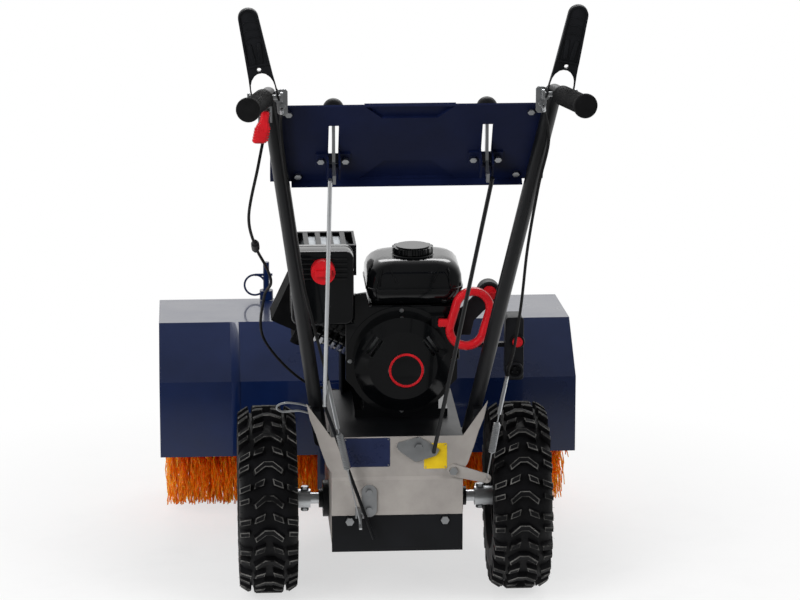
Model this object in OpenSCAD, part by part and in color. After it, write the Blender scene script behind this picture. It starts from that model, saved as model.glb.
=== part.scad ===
// Walk-behind power brush sweeper. +Y is forward, +X is the operator's right, +Z is up from the floor.

/* [Layout] */
// Sideways distance from the brush head's centre to the chassis centre
chassis_offset = 28; // [10:1:40]
// Distance from the axle forward to the brush axis
brush_reach = 518; // [510:1:530]
// Distance from the axle forward to the swivel pins of the brush head
swivel_reach = 250; // [246:1:254]

/* [Wheels] */
// Height of the axle above the floor, which is the radius to the top of a tread lug
wheel_r = 167; // [160:1:172]
// Width of a tyre
tyre_w = 105; // [95:1:112]
// Distance between the wheel centres
track = 445; // [435:1:470]
// Diameter of the rim's bead seat
rim_d = 152; // [140:1:165]
// Diameter of the axle
axle_d = 20; // [16:1:24]
// Height of a tread lug above the carcass
lug_h = 12; // [6:1:14]
// Chevron lugs round a tyre
lug_count = 17; // [14:1:18]

/* [Gear case] */
// Width over the side plates
case_w = 228; // [222:1:236]
// Distance from the axle back to the rear panel
case_back = 150; // [146:1:156]
// Distance from the axle forward to the front wall
case_front = 150; // [147:1:152]
// Height of the engine deck
deck_z = 323; // [318:1:330]
// Height of the rear panel's lower edge
panel_z = 182; // [178:1:186]
// Height of the bottom cover's underside
pan_z = 116; // [110:1:118]
// Thickness of the sheet steel
sheet = 3; // [2:0.5:4]

/* [Engine] */
// Sideways place of the crankshaft from the chassis centre
crank_x = 14; // [8:1:20]
// Height of the crankshaft above the engine deck
crank_h = 107; // [104:1:110]
// Radius of the recoil starter's dome
recoil_r = 84; // [80:1:88]
// Diameter of the crankshaft
crank_d = 20; // [18:1:24]
// Width of the fuel tank
tank_w = 171; // [160:1:180]
// Height of the fuel tank
tank_h = 77; // [70:1:84]
// Diameter of the fuel cap
cap_d = 72; // [66:1:76]

/* [Handle] */
// Outer diameter of the handle tubes
tube_d = 25; // [22:1:26]
// Wall of the handle tubes
tube_wall = 2; // [1.5:0.5:3]
// Half the distance between the tubes at their feet
foot_x = 128; // [127:1:132]
// Height of the tubes' feet
foot_z = 290; // [284:1:300]
// Half the distance between the tubes at the bend
top_x = 226; // [222:1:230]
// Height of the bend
top_z = 982; // [975:1:990]
// Half the distance between the grips' ends
grip_x = 262; // [256:1:268]
// Distance from the axle back to the grips' ends
grip_reach = 687; // [680:1:695]
// Height of the grips' ends
grip_z = 1010; // [1005:1:1014]
// Diameter of a grip
grip_d = 32; // [30:1:34]
// Width of the dash panel
dash_w = 444; // [436:1:450]
// Length of the dash panel up the handle's slope
dash_h = 172; // [168:1:178]

/* [Brush head] */
// Width of the hood
hood_w = 769; // [750:1:790]
// Diameter of the brush over its bristles
brush_d = 348; // [336:1:348]
// Height of the brush axis
brush_z = 175.5; // [175:0.5:180]
// Outer diameter of the bristles' backing
core_d = 120; // [110:1:130]
// Bristle strands round one ring
strands_round = 17; // [15:1:20]
// Rings of bristle strands in each half of the brush
strand_rings = 10; // [9:1:12]

/* [Castors] */
// Distance of each support post from the head's centre
post_x = 178; // [165:1:190]
// Distance of the support posts behind the hood's front edge
post_inset = 14; // [12:1:18]
// Distance from the support posts forward to the castors' swivel axes
castor_lead = 116; // [112:1:124]
// Diameter of a castor wheel
castor_d = 120; // [110:1:122]

/* [Hidden] */
$fn = 48;

// Fits and cuts
run_gap = 0.05;
part_gap = 0.5;
overrun = 2;
hex_corners = 6;

// Colours
grey_paint = "#8d8882";
blue_paint = "#1c2a52";
black_paint = "#17181b";
zinc = "#c3c6c8";
red_plastic = "#cf1a24";
bristle_orange = "#f2641c";
rubber_black = "#1e1e1f";

// Extents of the whole machine, which put the origin under the middle of its box
grip_flange_d = 39;
castor_crown_r = 20;
castor_trail = 26;
grip_start_x = 231;
grip_start_back = 34;
rake_share = 0.68;
foot_back = 58;
function rake_y(z) = -foot_back - (z - foot_z) * rake_share;
rake_deg = atan(rake_share);
grip_start_z = 1006;
grip_start = [grip_start_x, rake_y(top_z) - grip_start_back, grip_start_z];
grip_end = [grip_x, -grip_reach, grip_z];
grip_dir = (grip_end - grip_start) / norm(grip_end - grip_start);
rear_extent = grip_reach + grip_flange_d / 2 * sqrt(1 - grip_dir.y * grip_dir.y);
hood_front_y = 676;
post_reach = hood_front_y - post_inset;
castor_reach = post_reach + castor_lead;
front_extent = castor_reach - castor_trail + castor_d / 2;
axle_y = (rear_extent - front_extent) / 2;
chassis_at = [chassis_offset, axle_y, 0];
head_at = [0, axle_y, 0];
head_x = -chassis_offset;
case_x = case_w / 2;
crank_z = deck_z + crank_h;

// Shared shapes
module at_chassis() { translate(chassis_at) children(); }
module at_head() { translate(head_at) children(); }
module block(low, high) { translate(low) cube(high - low); }
module rod(p, q, d) {
  v = q - p;
  translate(p) rotate([0, acos(v.z / norm(v)), atan2(v.y, v.x)]) cylinder(h = norm(v), d = d);
}
function unit(v) = v / norm(v);
joint_bead = 0.2;
module bent_rod(points, d) {
  for (i = [0:len(points) - 2]) rod(points[i], points[i + 1], d);
  for (i = [1:len(points) - 2]) translate(points[i]) sphere(d / 2 + joint_bead);
}
module disc_x(p, r, w) { translate(p) rotate([0, 90, 0]) cylinder(h = w, r = r, center = true); }
module disc_y(p, r, w) { translate(p) rotate([90, 0, 0]) cylinder(h = w, r = r, center = true); }
module disc_z(p, r, w) { translate(p) cylinder(h = w, r = r, center = true); }
module plate_yz(x, t, points) { translate([x, 0, 0]) rotate([90, 0, 90]) linear_extrude(t) polygon(points); }
module plate_xz(y, t, points) { translate([0, y, 0]) rotate([90, 0, 0]) linear_extrude(t) polygon(points); }
module hex_head(p, d, h) { translate(p) rotate([90, 0, 0]) cylinder(h = h, d = d, $fn = hex_corners); }
module stadium(r, length) {
  square([2 * r, length], center = true);
  for (s = [-1, 1]) translate([0, s * length / 2]) circle(r);
}
module both_sides() { for (s = [0, 1]) mirror([s, 0, 0]) children(); }

// A bent sheet: an open line of points and its copy one thickness away
function edge_normal(p, q) = let (d = (q - p) / norm(q - p)) [d[1], -d[0]];
function mitre(points, i) =
  let (n = len(points) - 1,
       a = edge_normal(points[max(i - 1, 0)], points[max(i, 1)]),
       b = edge_normal(points[min(i, n - 1)], points[min(i + 1, n)]))
  (a + b) / (1 + a * b);
function sheet_outline(points, t) = concat(points, [
  for (i = [len(points) - 1:-1:0]) points[i] + t * mitre(points, i)]);

// A round tube swept along points
function tangent(points, i) = unit(points[min(i + 1, len(points) - 1)] - points[max(i - 1, 0)]);
function side_of(t) = unit(cross(t, abs(t.z) < 0.9 ? [0, 0, 1] : [1, 0, 0]));
function ring(p, t, s, r, sides) = let (u = cross(t, s)) [
  for (k = [0:sides - 1]) p + r * (cos(360 * k / sides) * s + sin(360 * k / sides) * u)];
function sides_along(points) = [
  for (i = 0, s = side_of(tangent(points, 0)); i < len(points);
       i = i + 1, t = i < len(points) ? tangent(points, i) : [0, 0, 1], s = unit(s - t * (s * t))) s];
module swept_tube(points, d, sides) {
  along = sides_along(points);
  n = len(points);
  vertices = [for (i = [0:n - 1]) each ring(points[i], tangent(points, i), along[i], d / 2, sides)];
  skin = [for (i = [0:n - 2], k = [0:sides - 1])
    let (a = i * sides + k, b = i * sides + (k + 1) % sides) each [[a, b + sides, b], [a, a + sides, b + sides]]];
  ends = [for (k = [1:sides - 2]) each [[0, k, k + 1], [(n - 1) * sides, (n - 1) * sides + k + 1, (n - 1) * sides + k]]];
  polyhedron(vertices, [for (f = concat(skin, ends)) [f[0], f[2], f[1]]]);
}
function smooth(points, steps) = concat([
  for (i = [0:len(points) - 2], k = [0:steps - 1])
    let (a = points[max(i - 1, 0)], b = points[i], c = points[i + 1],
         e = points[min(i + 2, len(points) - 1)], u = k / steps)
    0.5 * (2 * b + (c - a) * u + (2 * a - 5 * b + 4 * c - e) * u * u + (3 * b - a - 3 * c + e) * u * u * u)],
  [points[len(points) - 1]]);

// An involute gear's outline with low teeth and some backlash
tooth_module = 2;
pressure_deg = 20;
addendum_share = 0.8;
dedendum_share = 1.1;
backlash = 0.35;
flank_steps = 4;
function polar(r, a) = [r * cos(a), r * sin(a)];
function roll_deg(r, base) = let (t = sqrt(max(r * r / (base * base) - 1, 0))) t * 180 / PI - atan(t);
function gear_outline(teeth) =
  let (pitch = tooth_module * teeth / 2, base = pitch * cos(pressure_deg),
       tip = pitch + addendum_share * tooth_module, root = pitch - dedendum_share * tooth_module,
       low = max(base, root),
       half = 90 / teeth + roll_deg(pitch, base) - backlash / pitch * 90 / PI)
  [for (i = [0:teeth - 1]) let (a = 360 * i / teeth) each concat(
    [polar(root, a - half)],
    [for (k = [0:flank_steps]) let (r = low + (tip - low) * k / flank_steps) polar(r, a - half + roll_deg(r, base))],
    [for (k = [flank_steps:-1:0]) let (r = low + (tip - low) * k / flank_steps) polar(r, a + half - roll_deg(r, base))],
    [polar(root, a + half)])];

// Wheels
wheel_z = wheel_r;
wheel_x = track / 2;
rim_r = rim_d / 2;
carcass_r = wheel_r - lug_h;
tyre_wall = 9;
tyre_profile_shares = [[0, 0.7], [0.12, 0.7], [0.3, 0.95], [0.62, 1], [0.9, 0.86], [1, 0.55]];
chevron_shares = [
  [0.16, 0.17], [0.5, -0.08], [0.45, -0.22], [0.12, 0], [-0.12, 0], [-0.45, -0.22], [-0.5, -0.08], [-0.16, 0.17]];
shoulder_shares = [[0.12, 0.16], [0.45, 0.03], [0.98, -0.1], [0.98, -0.28], [0.5, -0.15], [0.17, -0.04]];
lug_pitch = 2 * PI * carcass_r / lug_count;
chevron_sink = 8;
shoulder_sink = 22;
function tyre_point(q, inset) = [rim_r + run_gap + q[0] * (carcass_r - inset - rim_r), q[1] * (tyre_w / 2 - inset)];
function flipped(points) = [for (i = [len(points) - 1:-1:0]) [points[i][0], -points[i][1]]];
function tyre_half(inset) = [for (q = tyre_profile_shares) tyre_point(q, inset)];
function lug_outline(shares, side) = [for (q = shares) [side * q[0] * tyre_w / 2, q[1] * lug_pitch]];
module lug(turn, sink, points) {
  rotate([turn, 0, 0]) translate([0, 0, -wheel_r]) linear_extrude(lug_h + sink) polygon(points);
}
module tyre() {
  outer = concat(tyre_half(0), flipped(tyre_half(0)));
  inner = concat(tyre_half(tyre_wall), flipped(tyre_half(tyre_wall)));
  inner_sunk = concat([[rim_r - overrun, inner[0][1]]], inner, [[rim_r - overrun, -inner[0][1]]]);
  rotate([0, 90, 0]) rotate_extrude() difference() {
    polygon(outer);
    polygon(inner_sunk);
  }
  for (i = [0:lug_count - 1]) {
    lug(360 * i / lug_count, chevron_sink, lug_outline(chevron_shares, 1));
    for (s = [-1, 1]) lug(360 * (i + 0.5) / lug_count, shoulder_sink, lug_outline(shoulder_shares, s));
  }
}
module tyres() {
  color(rubber_black) at_chassis() for (s = [-1, 1]) translate([s * wheel_x, 0, wheel_z]) tyre();
}

hub_d = 34;
hub_inner_x = 146;
hub_outer = 22;
rim_wall = 4;
flange_h = 8;
flange_w = 3;
web_t = 5;
pin_d = 8;
pin_in = 10;
pin_head_d = 14;
pin_head_h = 5;
rim_seat_share = 0.72;
rim_seat_w = rim_seat_share * tyre_w / 2;
module rim() {
  hub_l = wheel_x - hub_inner_x + hub_outer;
  difference() {
    union() {
      disc_x([(hub_outer - wheel_x + hub_inner_x) / 2, 0, 0], hub_d / 2, hub_l);
      disc_x([0, 0, 0], rim_r - rim_wall / 2, web_t);
      difference() {
        union() {
          disc_x([0, 0, 0], rim_r, 2 * rim_seat_w);
          for (s = [-1, 1]) disc_x([s * (rim_seat_w + flange_w / 2), 0, 0], rim_r + flange_h, flange_w);
        }
        disc_x([0, 0, 0], rim_r - rim_wall, 2 * (rim_seat_w + flange_w + overrun));
      }
    }
    disc_x([0, 0, 0], axle_d / 2 + run_gap, 4 * wheel_x);
    disc_z([hub_inner_x + pin_in - wheel_x, 0, 0], pin_d / 2 + run_gap, 2 * hub_d);
  }
}
module rims() {
  color(black_paint) at_chassis() both_sides() translate([wheel_x, 0, wheel_z]) rim();
}

// Gear train and axle
pinion_teeth = 16;
axle_teeth = 40;
gear_w = 14;
gear_x = -70;
gear_centre = tooth_module * (pinion_teeth + axle_teeth) / 2;
friction_r = 43;
disc_gap = 1.5;
disc_y_at = 72;
hex_y = disc_y_at - friction_r - disc_gap;
hex_z = wheel_z + sqrt(gear_centre * gear_centre - hex_y * hex_y);
mesh_deg = atan2(hex_y, hex_z - wheel_z);
axle_end = 40;
axle_half = wheel_x + axle_end;
pin_head_gap = 0.3;
module axle() {
  color(zinc) at_chassis() {
    difference() {
      translate([0, 0, wheel_z]) {
        disc_x([0, 0, 0], axle_d / 2, 2 * axle_half);
        translate([gear_x - gear_w / 2, 0, 0]) rotate([90, 0, 90]) rotate(90 - mesh_deg)
          linear_extrude(gear_w) polygon(gear_outline(axle_teeth));
      }
      for (s = [-1, 1]) disc_z([s * (hub_inner_x + pin_in), 0, wheel_z], pin_d / 2 + run_gap, 2 * axle_d);
    }
    for (s = [-1, 1]) translate([s * (hub_inner_x + pin_in), 0, wheel_z]) {
      disc_z([0, 0, 0], pin_d / 2, hub_d + 2 * pin_head_h);
      for (u = [-1, 1]) translate([0, 0, u * (hub_d + pin_head_h) / 2 + u * pin_head_gap])
        cylinder(h = pin_head_h, d = pin_head_d, center = true, $fn = hex_corners);
    }
  }
}
hex_flats = 16;
hex_round_d = hex_flats / cos(30);
journal_d = 12;
hex_half = case_x - sheet - part_gap;
journal_l = sheet + 2 * part_gap;
module hex_shaft() {
  color(zinc) at_chassis() translate([0, hex_y, hex_z]) {
    rotate([0, 90, 0]) cylinder(h = 2 * hex_half, d = hex_round_d, center = true, $fn = hex_corners);
    disc_x([0, 0, 0], journal_d / 2, 2 * (hex_half + journal_l));
    translate([gear_x - gear_w / 2, 0, 0]) rotate([90, 0, 90])
      rotate(270 - mesh_deg + 180 / pinion_teeth) linear_extrude(gear_w) polygon(gear_outline(pinion_teeth));
  }
}
friction_x = 36;
friction_w = 10;
friction_hub_d = 34;
friction_hub_w = 24;
hex_slide_gap = 0.15;
module friction_wheel() {
  color(rubber_black) at_chassis() translate([friction_x, hex_y, hex_z]) difference() {
    union() {
      disc_x([0, 0, 0], friction_r, friction_w);
      disc_x([0, 0, 0], friction_hub_d / 2, friction_hub_w);
    }
    rotate([0, 90, 0]) cylinder(h = 2 * friction_hub_w, d = (hex_flats + 2 * hex_slide_gap) / cos(30),
      center = true, $fn = hex_corners);
  }
}
disc_r = 62;
disc_t = 8;
disc_shaft_d = 16;
groove_depth = 8;
belt_w = 8;
pulley_wall = 2;
pulley_w = belt_w + 2 * pulley_wall;
belt_space = 4;
belt_set_out = 14;
belt_pitch = pulley_w + belt_space;
drive_belt_y = case_front + belt_set_out;
brush_belt_y = drive_belt_y + belt_pitch;
drive_pulley_r = 44;
brush_pulley_r = 68;
crank_pulley_r = 36;
module pulley(p, r) {
  difference() {
    disc_y(p, r, pulley_w);
    difference() {
      disc_y(p, r + overrun, belt_w + 2 * part_gap);
      disc_y(p, r - groove_depth, belt_w + 4 * part_gap);
    }
  }
}
module drive_disc() {
  color(zinc) at_chassis() {
    disc_y([crank_x, disc_y_at + disc_t / 2, hex_z], disc_r, disc_t);
    rod([crank_x, disc_y_at + disc_t / 2, hex_z], [crank_x, drive_belt_y, hex_z], disc_shaft_d);
    pulley([crank_x, drive_belt_y, hex_z], drive_pulley_r);
  }
}
module belt_loop(y, x1, z1, r1, x2, z2, r2) {
  translate([0, y + belt_w / 2, 0]) rotate([90, 0, 0]) linear_extrude(belt_w) difference() {
    hull() {
      translate([x1, z1]) circle(r1);
      translate([x2, z2]) circle(r2);
    }
    hull() {
      translate([x1, z1]) circle(r1 - belt_t);
      translate([x2, z2]) circle(r2 - belt_t);
    }
  }
}
belt_t = 6;
belt_seat_gap = 0.6;
function belt_r(pulley_r) = pulley_r - groove_depth + belt_t + belt_seat_gap;
module drive_belts() {
  color(rubber_black) at_chassis() {
    belt_loop(drive_belt_y, crank_x, crank_z, belt_r(crank_pulley_r), crank_x, hex_z, belt_r(drive_pulley_r));
    belt_loop(brush_belt_y, crank_x, crank_z, belt_r(crank_pulley_r), head_x, brush_z, belt_r(brush_pulley_r));
  }
}

// Gear case, its bottom cover and bearings
bearing_flange_r = 33;
bearing_boss_r = 22;
bearing_flange_t = 10;
boss_d = 34;
boss_l = 17;
side_bottom_z = 128;
crease_z = 248;
crease_h = 6;
crease_step = 3;
wing_tip_x = 157;
wing_tip_z = 385;
wing_outline_shares = [
  [-0.05, 0], [-0.05, 0.95], [0, 1], [1, 2], [0.85, 1.51], [0.62, 1.098], [0.45, 0.72], [0.2, 0.25]];
wing_low_z = 256;
function wing_point(q) = [
  case_x + q[0] * (wing_tip_x - case_x),
  q[1] <= 1 ? wing_low_z + q[1] * (deck_z - wing_low_z) : deck_z + (q[1] - 1) * (wing_tip_z - deck_z)];
rear_panel_line = [
  [-case_back, deck_z], [-case_back, crease_z + crease_h / 2],
  [-case_back - crease_step, crease_z - crease_h / 2], [-case_back - crease_step, panel_z]];
hex_bore_d = journal_d + 2 * run_gap;
disc_bore_d = disc_shaft_d + 2 * run_gap;
module gear_case() {
  color(grey_paint) at_chassis() difference() {
    union() {
      for (s = [-1, 1]) {
        low_x = s > 0 ? case_x - sheet : -case_x;
        block([low_x, -case_back, side_bottom_z], [low_x + sheet, case_front, deck_z]);
      }
      plate_yz(-case_x, case_w, sheet_outline(rear_panel_line, -sheet));
      block([-case_x, -case_back, deck_z - sheet], [case_x, case_front, deck_z]);
      block([-case_x, case_front - sheet, side_bottom_z], [case_x, case_front, deck_z]);
      both_sides() plate_xz(sheet - case_back, sheet, [for (q = wing_outline_shares) wing_point(q)]);
    }
    disc_x([0, 0, wheel_z], bearing_boss_r, 2 * case_w);
    disc_x([0, hex_y, hex_z], hex_bore_d / 2, 2 * case_w);
    disc_y([crank_x, case_front, hex_z], disc_bore_d / 2, 4 * sheet);
  }
}
pan_gap = 0.5;
module bottom_cover() {
  in_x = case_x - sheet - pan_gap;
  back_y = -case_back - crease_step;
  color(black_paint) at_chassis() {
    block([-case_x, back_y, pan_z], [case_x, back_y + sheet, panel_z - pan_gap]);
    difference() {
      block([-in_x, back_y + sheet, pan_z], [in_x, case_front - sheet - pan_gap, side_bottom_z + pan_lip]);
      block([-in_x + sheet, back_y, pan_z + sheet], [in_x - sheet, case_front - 2 * sheet, panel_z]);
    }
  }
}
pan_lip = 10;
bearing_bore_d = axle_d + 2 * run_gap;
module axle_bearings() {
  color(black_paint) at_chassis() both_sides() difference() {
    union() {
      disc_x([case_x + bearing_flange_t / 2, 0, wheel_z], bearing_flange_r, bearing_flange_t);
      disc_x([case_x + boss_l / 2, 0, wheel_z], boss_d / 2, boss_l);
      disc_x([case_x - sheet / 2, 0, wheel_z], bearing_boss_r - part_gap / 2, sheet);
    }
    disc_x([case_x, 0, wheel_z], bearing_bore_d / 2, 4 * boss_l);
  }
}

// Fasteners on the chassis and dash
bolt_d = 15;
bolt_h = 6;
small_bolt_d = 12;
small_bolt_h = 5;
cover_bolt_x = 83;
cover_bolt_z = 172;
oval_x = -49;
oval_z = 209;
oval_bolt_half = 16;
oval_t = 4;
dash_nut_in = 14;
dash_nut_low = 14;
dash_nut_high = 158;
crank_pivot_x = 37;
crank_pivot_z = 305;
crank_pin_d = 8;
crank_plate_t = 4;
crank_plate_gap = 2;
arm_pivot_x = 97;
arm_pivot_z = 262;
arm_t = 4;
arm_gap = 3;
stack_gap = 0.5;
panel_back_y = -case_back;
module pivot_bolt(x, z, far) {
  rod([x, panel_back_y, z], [x, far, z], crank_pin_d);
  hex_head([x, far, z], bolt_d, bolt_h);
}
module fasteners() {
  color(zinc) at_chassis() {
    for (s = [-1, 1]) hex_head([s * cover_bolt_x, -case_back - crease_step, cover_bolt_z], bolt_d, bolt_h);
    for (s = [-1, 1]) hex_head([oval_x, -case_back - crease_step - oval_t, oval_z + s * oval_bolt_half],
      small_bolt_d, small_bolt_h);
    pivot_bolt(crank_pivot_x, crank_pivot_z, panel_back_y - crank_plate_gap - crank_plate_t - stack_gap);
    pivot_bolt(arm_pivot_x, arm_pivot_z, panel_back_y - arm_gap - arm_t - stack_gap);
    on_rake(dash_z) for (s = [-1, 1], h = [dash_nut_low, dash_nut_high])
      hex_head([s * (tube_x_at(dash_z + h * cos(rake_deg)) - tube_d / 2 - dash_nut_in), dash_rear, h],
        small_bolt_d, small_bolt_h);
    on_rake(lever_z) for (x = [angle_x, speed_x], s = [-1, 1])
      hex_head([x + s * bracket_bolt_half, dash_rear - bracket_t, 0], small_bolt_d, small_bolt_h);
  }
}

// Swivel yoke between the chassis and the brush head
yoke_top_z = 256;
yoke_low_z = 88;
yoke_t = 6;
yoke_half_w = 85;
yoke_nose_r = 20;
yoke_flange_t = 5;
swivel_pin_d = 20;
ear_t = 6;
ear_gap = 2;
pin_past = 3;
brush_shaft_d = 20;
cable_stop = 14;
module yoke_plate(z) {
  translate([head_x, 0, z]) linear_extrude(yoke_t) union() {
    polygon([[-yoke_half_w, case_front], [yoke_half_w, case_front],
      [yoke_nose_r, swivel_reach], [-yoke_nose_r, swivel_reach]]);
    translate([0, swivel_reach]) circle(yoke_nose_r);
  }
}
bearing_plate_y = brush_belt_y + belt_pitch;
bearing_plate_half = 40;
module swivel_yoke() {
  pin_x = head_x;
  color(grey_paint) at_chassis() {
    difference() {
      union() {
        difference() {
          yoke_plate(yoke_top_z);
          block([head_x - 2 * yoke_half_w, case_front - overrun, yoke_top_z - overrun],
            [head_x + 2 * yoke_half_w, bearing_plate_y, yoke_top_z + yoke_t + overrun]);
        }
        yoke_plate(yoke_low_z);
        block([head_x - yoke_half_w, case_front, yoke_low_z], [head_x + yoke_half_w, case_front + yoke_flange_t,
          yoke_top_z + yoke_t]);
        block([head_x - bearing_plate_half, bearing_plate_y - yoke_t / 2, yoke_low_z],
          [head_x + bearing_plate_half, bearing_plate_y + yoke_t / 2, yoke_top_z + yoke_t]);
      }
      disc_y([head_x, bearing_plate_y, brush_z], brush_shaft_d / 2 + run_gap, 4 * yoke_t);
      disc_y([crank_x, case_front, hex_z], disc_shaft_d / 2 + part_gap, 4 * yoke_t);
    }
    pin_l = yoke_t / 2 + ear_gap + ear_t + pin_past;
    translate([pin_x, swivel_reach, yoke_top_z + yoke_t / 2 - pin_l]) cylinder(h = pin_l, d = swivel_pin_d);
    translate([pin_x, swivel_reach, yoke_low_z + yoke_t / 2]) cylinder(h = pin_l, d = swivel_pin_d);
    block([pin_x - cable_stop, bearing_plate_y + yoke_t, yoke_top_z + yoke_t],
      [pin_x, bearing_plate_y + yoke_t + cable_stop, yoke_top_z + yoke_t + cable_stop]);
  }
}
cover_left = 100;
cover_right = 54;
cover_low_z = 268;
cover_top_z = 482;
cover_lap = 2;
cover_front_y = bearing_plate_y + cover_lap;
cover_back_y = 124;
cover_t = 3;
module belt_cover() {
  color(black_paint) at_chassis() difference() {
    block([crank_x - cover_left, cover_back_y, cover_low_z], [crank_x + cover_right, cover_front_y, cover_top_z]);
    block([crank_x - cover_left + cover_t, cover_back_y - overrun, cover_low_z - overrun],
      [crank_x + cover_right - cover_t, cover_front_y - cover_t, cover_top_z - cover_t]);
    block([crank_x - cover_left - overrun, cover_back_y - overrun, cover_low_z - overrun],
      [crank_x + cover_right + overrun, case_front, deck_z + part_gap]);
  }
}

// Engine
block_back_y = -28;
block_front_y = 120;
base_half_w = 82;
base_h = 14;
crankcase_half_w = 66;
crankcase_h = 172;
bank_deg = 25;
barrel_y = 62;
barrel_d = 84;
fin_d = 108;
fin_t = 4;
fin_count = 6;
fin_first = 82;
fin_pitch = 11;
barrel_end = 150;
module along_bank() { translate([crank_x, barrel_y, crank_z]) rotate([0, bank_deg - 90, 0]) children(); }
module engine_block() {
  color(black_paint) at_chassis() difference() {
    union() {
      block([crank_x - base_half_w, block_back_y, deck_z], [crank_x + base_half_w, block_front_y, deck_z + base_h]);
      block([crank_x - crankcase_half_w, block_back_y, deck_z + base_h],
        [crank_x + crankcase_half_w, block_front_y, deck_z + crankcase_h]);
      along_bank() {
        cylinder(h = barrel_end, d = barrel_d);
        for (i = [0:fin_count - 1]) translate([0, 0, fin_first + i * fin_pitch]) cylinder(h = fin_t, d = fin_d);
      }
    }
    disc_y([crank_x, 0, crank_z], crank_d / 2 + run_gap, 4 * block_front_y);
  }
}
head_l = 40;
head_half = 54;
cover_l = 40;
cover_half = 42;
plug_d = 18;
plug_l = 36;
module cylinder_head() {
  color(zinc) at_chassis() along_bank() {
    translate([0, 0, barrel_end]) {
      for (i = [0:3]) translate([-head_half, -head_half, i * head_l / 4])
        cube([2 * head_half, 2 * head_half, head_l / 8]);
      translate([-cover_half, -cover_half, 0]) cube([2 * cover_half, 2 * cover_half, head_l + cover_l]);
      translate([-head_half - plug_l / 2, 0, head_l / 2]) rotate([0, 90, 0]) cylinder(h = plug_l, d = plug_d);
    }
  }
}
shroud_t = 10;
shroud_half_w = 98;
shroud_low = 82;
shroud_high = 98;
shroud_corner = 46;
dome_depth = 42;
dome_nose = 10;
dome_wall = 3;
nose_r_share = 0.72;
flange_r_share = 1.16;
flange_t = 6;
post_d = 16;
reel_r = 54;
reel_w = 12;
vent_count = 3;
vent_w = 5;
vent_l = 34;
vent_pitch = 9;
vent_out = 53;
vent_depth = 7;
vent_deg = 55;
guide_half = 11;
guide_x = 73;
guide_up = 74;
dome_back_y = block_back_y - shroud_t - dome_depth;
shroud_points = [
  [-shroud_half_w, -shroud_low + shroud_corner], [-shroud_half_w + shroud_corner, -shroud_low],
  [shroud_half_w - shroud_corner, -shroud_low], [shroud_half_w, -shroud_low + shroud_corner],
  [shroud_half_w, shroud_high - shroud_corner], [shroud_half_w - shroud_corner, shroud_high],
  [-shroud_half_w + shroud_corner, shroud_high], [-shroud_half_w, shroud_high - shroud_corner]];
module recoil_housing() {
  color(black_paint) at_chassis() translate([crank_x, block_back_y, crank_z]) difference() {
    union() {
      difference() {
        plate_xz(0, shroud_t, shroud_points);
        disc_y([0, 0, 0], recoil_r - dome_wall, 4 * shroud_t);
      }
      translate([0, -shroud_t, 0]) rotate([90, 0, 0]) rotate_extrude() polygon([
        [recoil_r - dome_wall, 0], [recoil_r * flange_r_share, 0], [recoil_r * flange_r_share, flange_t],
        [recoil_r, flange_t], [recoil_r, dome_depth - dome_nose], [recoil_r * nose_r_share, dome_depth],
        [0, dome_depth], [0, dome_depth - dome_wall], [recoil_r * nose_r_share - dome_wall, dome_depth - dome_wall],
        [recoil_r - dome_wall, dome_depth - dome_nose]]);
      rod([0, dome_wall - shroud_t - dome_depth, 0], [0, part_gap + reel_w - shroud_t - dome_depth + dome_wall, 0],
        post_d);
      block([guide_x - 2 * guide_half, pull_at.y + pull_t / 3 + part_gap - block_back_y, guide_up - guide_half],
        [guide_x, -shroud_t, guide_up + guide_half]);
    }
    for (s = [-1, 1], i = [0:vent_count - 1]) rotate([0, s * vent_deg, 0])
      block([-vent_l / 2, -2 * dome_depth, vent_out + i * vent_pitch],
        [vent_l / 2, vent_depth - shroud_t - dome_depth, vent_out + i * vent_pitch + vent_w]);
  }
}
module recoil_reel() {
  front = dome_back_y + dome_wall + part_gap / 2;
  color(black_paint) at_chassis() difference() {
    disc_y([crank_x, front + reel_w / 2, crank_z], reel_r, reel_w);
    disc_y([crank_x, front, crank_z], post_d / 2 + run_gap, 4 * reel_w);
  }
}
flywheel_r = 74;
flywheel_w = 18;
module crankshaft() {
  flywheel_y = block_back_y - flywheel_w / 2 - part_gap;
  color(zinc) at_chassis() {
    rod([crank_x, flywheel_y, crank_z], [crank_x, brush_belt_y + pulley_w / 2, crank_z], crank_d);
    disc_y([crank_x, flywheel_y, crank_z], flywheel_r, flywheel_w);
    pulley([crank_x, drive_belt_y, crank_z], crank_pulley_r);
    pulley([crank_x, brush_belt_y, crank_z], crank_pulley_r);
  }
}
tank_x = 37;
tank_back_y = -54;
tank_front_y = 98;
tank_low_z = 531;
tank_side_shares = [[-0.45, 0], [-0.5, 0.4], [-0.48, 0.78], [-0.39, 1], [0.39, 1], [0.48, 0.78], [0.5, 0.4], [0.45, 0]];
neck_d = 46;
neck_h = 3;
cap_y = 18;
cap_h = 12;
cap_brim = 10;
cap_notch_d = 6;
cap_notches = 16;
cap_brim_share = 0.82;
function tank_points(w) = [for (q = tank_side_shares) [q[0] * w, tank_low_z + q[1] * tank_h]];
module fuel_tank() {
  tank_l = tank_front_y - tank_back_y;
  color(black_paint) at_chassis() {
    translate([tank_x, 0, 0]) {
      intersection() {
        plate_xz(tank_front_y, tank_l, tank_points(tank_w));
        translate([0, (tank_front_y + tank_back_y) / 2, 0]) plate_yz(-tank_w, 2 * tank_w, tank_points(tank_l));
      }
      translate([0, cap_y, tank_low_z + tank_h - overrun]) cylinder(h = neck_h + overrun, d = neck_d);
    }
    for (s = [-1, 1]) let (x = crank_x + s * tank_foot_x, back = block_back_y + tank_foot_w)
      block([x - tank_foot_w / 2, back, deck_z + crankcase_h],
        [x + tank_foot_w / 2, s < 0 ? back + tank_foot_w : block_front_y - tank_foot_w, tank_low_z]);
  }
}
tank_foot_x = 44;
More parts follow.
